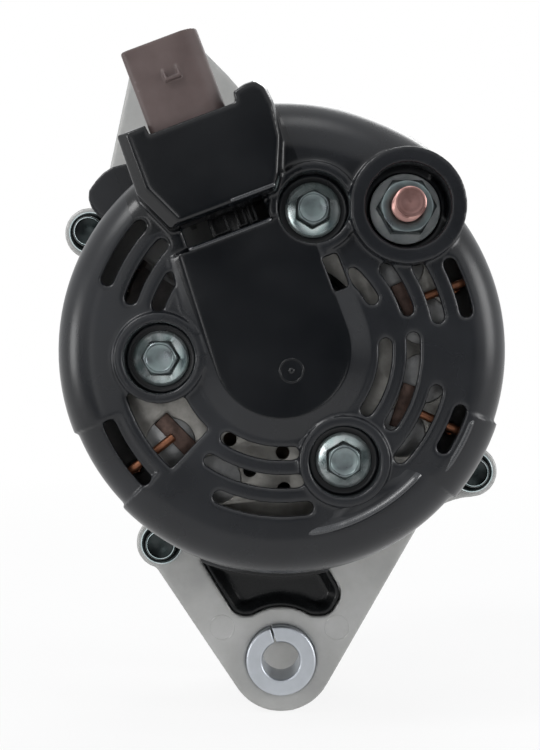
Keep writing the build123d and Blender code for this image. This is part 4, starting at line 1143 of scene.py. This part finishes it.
def layFloor():
    look = stageLook
    mesh = bpy.data.meshes.new("paleFloor")
    work = bmesh.new()
    bmesh.ops.create_grid(work, x_segments=8, y_segments=8, size=look["reach"])
    bmesh.ops.translate(work, verts=work.verts, vec=(0, 0, cadBox[0][2] - look["gap"] * mm))
    closed(work, mesh)
    floor = inScene("paleFloor", mesh)
    finish, tree, shader = newFinish("floorWhite", look["white"], 0.0, 0.9, 0.2)
    ray = tree.nodes.new("ShaderNodeLightPath")
    spot = tree.nodes.new("ShaderNodeTexCoord")
    far = tree.nodes.new("ShaderNodeVectorMath")
    far.operation = "LENGTH"
    tree.links.new(spot.outputs["Object"], far.inputs[0])
    fade = between(tree, far.outputs["Value"], look["fadeFrom"], look["fadeTo"], look["nearShare"], 1.0)
    seen = maths(tree, "MULTIPLY", ray.outputs["Is Camera Ray"], fade)
    mirrored = maths(tree, "MAXIMUM", ray.outputs["Is Glossy Ray"], ray.outputs["Is Transmission Ray"])
    share = maths(tree, "MAXIMUM", seen, mirrored)
    parts = tree.nodes.new("ShaderNodeSeparateXYZ")
    tree.links.new(spot.outputs["Object"], parts.inputs["Vector"])
    depth = between(tree, parts.outputs["Y"], look["dimFrom"], look["brightFrom"], 0.0, 1.0)
    reflected = blendColour(tree, depth, look["dim"], look["mirrored"])
    glow = tree.nodes.new("ShaderNodeEmission")
    glow.inputs["Strength"].default_value = 1.0
    shade = blendColour(tree, ray.outputs["Is Camera Ray"], reflected, (1, 1, 1))
    tree.links.new(shade, glow.inputs["Color"])
    blend = tree.nodes.new("ShaderNodeMixShader")
    tree.links.new(share, blend.inputs["Fac"])
    tree.links.new(shader.outputs["BSDF"], blend.inputs[1])
    tree.links.new(glow.outputs["Emission"], blend.inputs[2])
    tree.links.new(blend.outputs["Shader"], tree.nodes["Material Output"].inputs["Surface"])
    coat(floor, finish)


worldLook = {
    "ambient": (0.80, 0.82, 0.85),
    "strength": 0.42,
    # the room that reflections see: it brightens along the slant, from behind the camera
    "slant": (-0.12, 1.0, 0.05),
    "ends": (-1.0, 0.3),
    "room": [
        (0.0, (0.05, 0.06, 0.07)),
        (0.018, (0.08, 0.09, 0.10)),
        (0.036, (0.60, 0.61, 0.62)),
        (0.08, (0.88, 0.89, 0.90)),
        (1.0, (0.90, 0.91, 0.92)),
    ],
}


def lightWorld():
    look = worldLook
    world = bpy.data.worlds.new("paleStudio")
    world.use_nodes = True
    bpy.context.scene.world = world
    tree = world.node_tree
    ambient = tree.nodes["Background"]
    ambient.inputs["Color"].default_value = (*look["ambient"], 1)
    ambient.inputs["Strength"].default_value = look["strength"]
    white = tree.nodes.new("ShaderNodeBackground")
    white.inputs["Strength"].default_value = 1.0
    ray = tree.nodes.new("ShaderNodeLightPath")
    mirrored = maths(tree, "MAXIMUM", ray.outputs["Is Glossy Ray"], ray.outputs["Is Transmission Ray"])
    seen = maths(tree, "MAXIMUM", mirrored, ray.outputs["Is Camera Ray"])
    spot = tree.nodes.new("ShaderNodeTexCoord")
    depth = tree.nodes.new("ShaderNodeVectorMath")
    depth.operation = "DOT_PRODUCT"
    depth.inputs[1].default_value = look["slant"]
    tree.links.new(spot.outputs["Generated"], depth.inputs[0])
    room = between(tree, depth.outputs["Value"], *look["ends"], 0.0, 1.0)
    shade = blendColour(tree, ray.outputs["Is Camera Ray"], ramp(tree, room, look["room"]), (1, 1, 1))
    tree.links.new(shade, white.inputs["Color"])
    blend = tree.nodes.new("ShaderNodeMixShader")
    tree.links.new(seen, blend.inputs["Fac"])
    tree.links.new(ambient.outputs["Background"], blend.inputs[1])
    tree.links.new(white.outputs["Background"], blend.inputs[2])
    tree.links.new(blend.outputs["Shader"], tree.nodes["World Output"].inputs["Surface"])


# where in metres, size, watts
lampLook = {
    "keyLamp": ((-0.62, -0.60, 0.78), 0.40, 4.4),
    "topLamp": ((0.10, -0.40, 0.92), 0.30, 0.7),
    "leftGlint": ((-0.17, -0.72, 0.02), 0.13, 0.12),
    "lowGlint": ((0.10, -0.70, -0.065), 0.06, 0.03),
    "leftLamp": ((-0.95, -0.45, 0.02), 0.35, 2.5),
    "sideLamp": ((0.95, -0.45, 0.22), 0.45, 3.9),
    "backLamp": ((0.20, 0.95, 0.80), 0.60, 5.0),
}
lampAim = (0, -0.06, 0)


def hangLamps():
    for name, (spot, size, watts) in lampLook.items():
        lamp = bpy.data.lights.new(name, "AREA")
        lamp.shape = "SQUARE"
        lamp.size = size
        lamp.energy = watts
        holder = inScene(name, lamp)
        holder.location = spot
        aim = Vector(lampAim) - Vector(spot)
        holder.rotation_euler = aim.to_track_quat("-Z", "Y").to_euler()


cameraLook = {"spot": (-0.003, -0.508, -0.00625), "lens": 72.96, "sensor": 36, "nearest": 0.01}


def setCamera():
    eye = bpy.data.cameras.new("eye")
    eye.lens = cameraLook["lens"]
    eye.sensor_width = cameraLook["sensor"]
    eye.clip_start = cameraLook["nearest"]
    holder = inScene("eye", eye)
    holder.location = cameraLook["spot"]
    holder.rotation_euler = (math.radians(90), 0, 0)
    bpy.context.scene.camera = holder


layFloor()
lightWorld()
hangLamps()
setCamera()
bpy.context.scene.view_settings.view_transform = "Standard"
print("floor, lamps and camera set")
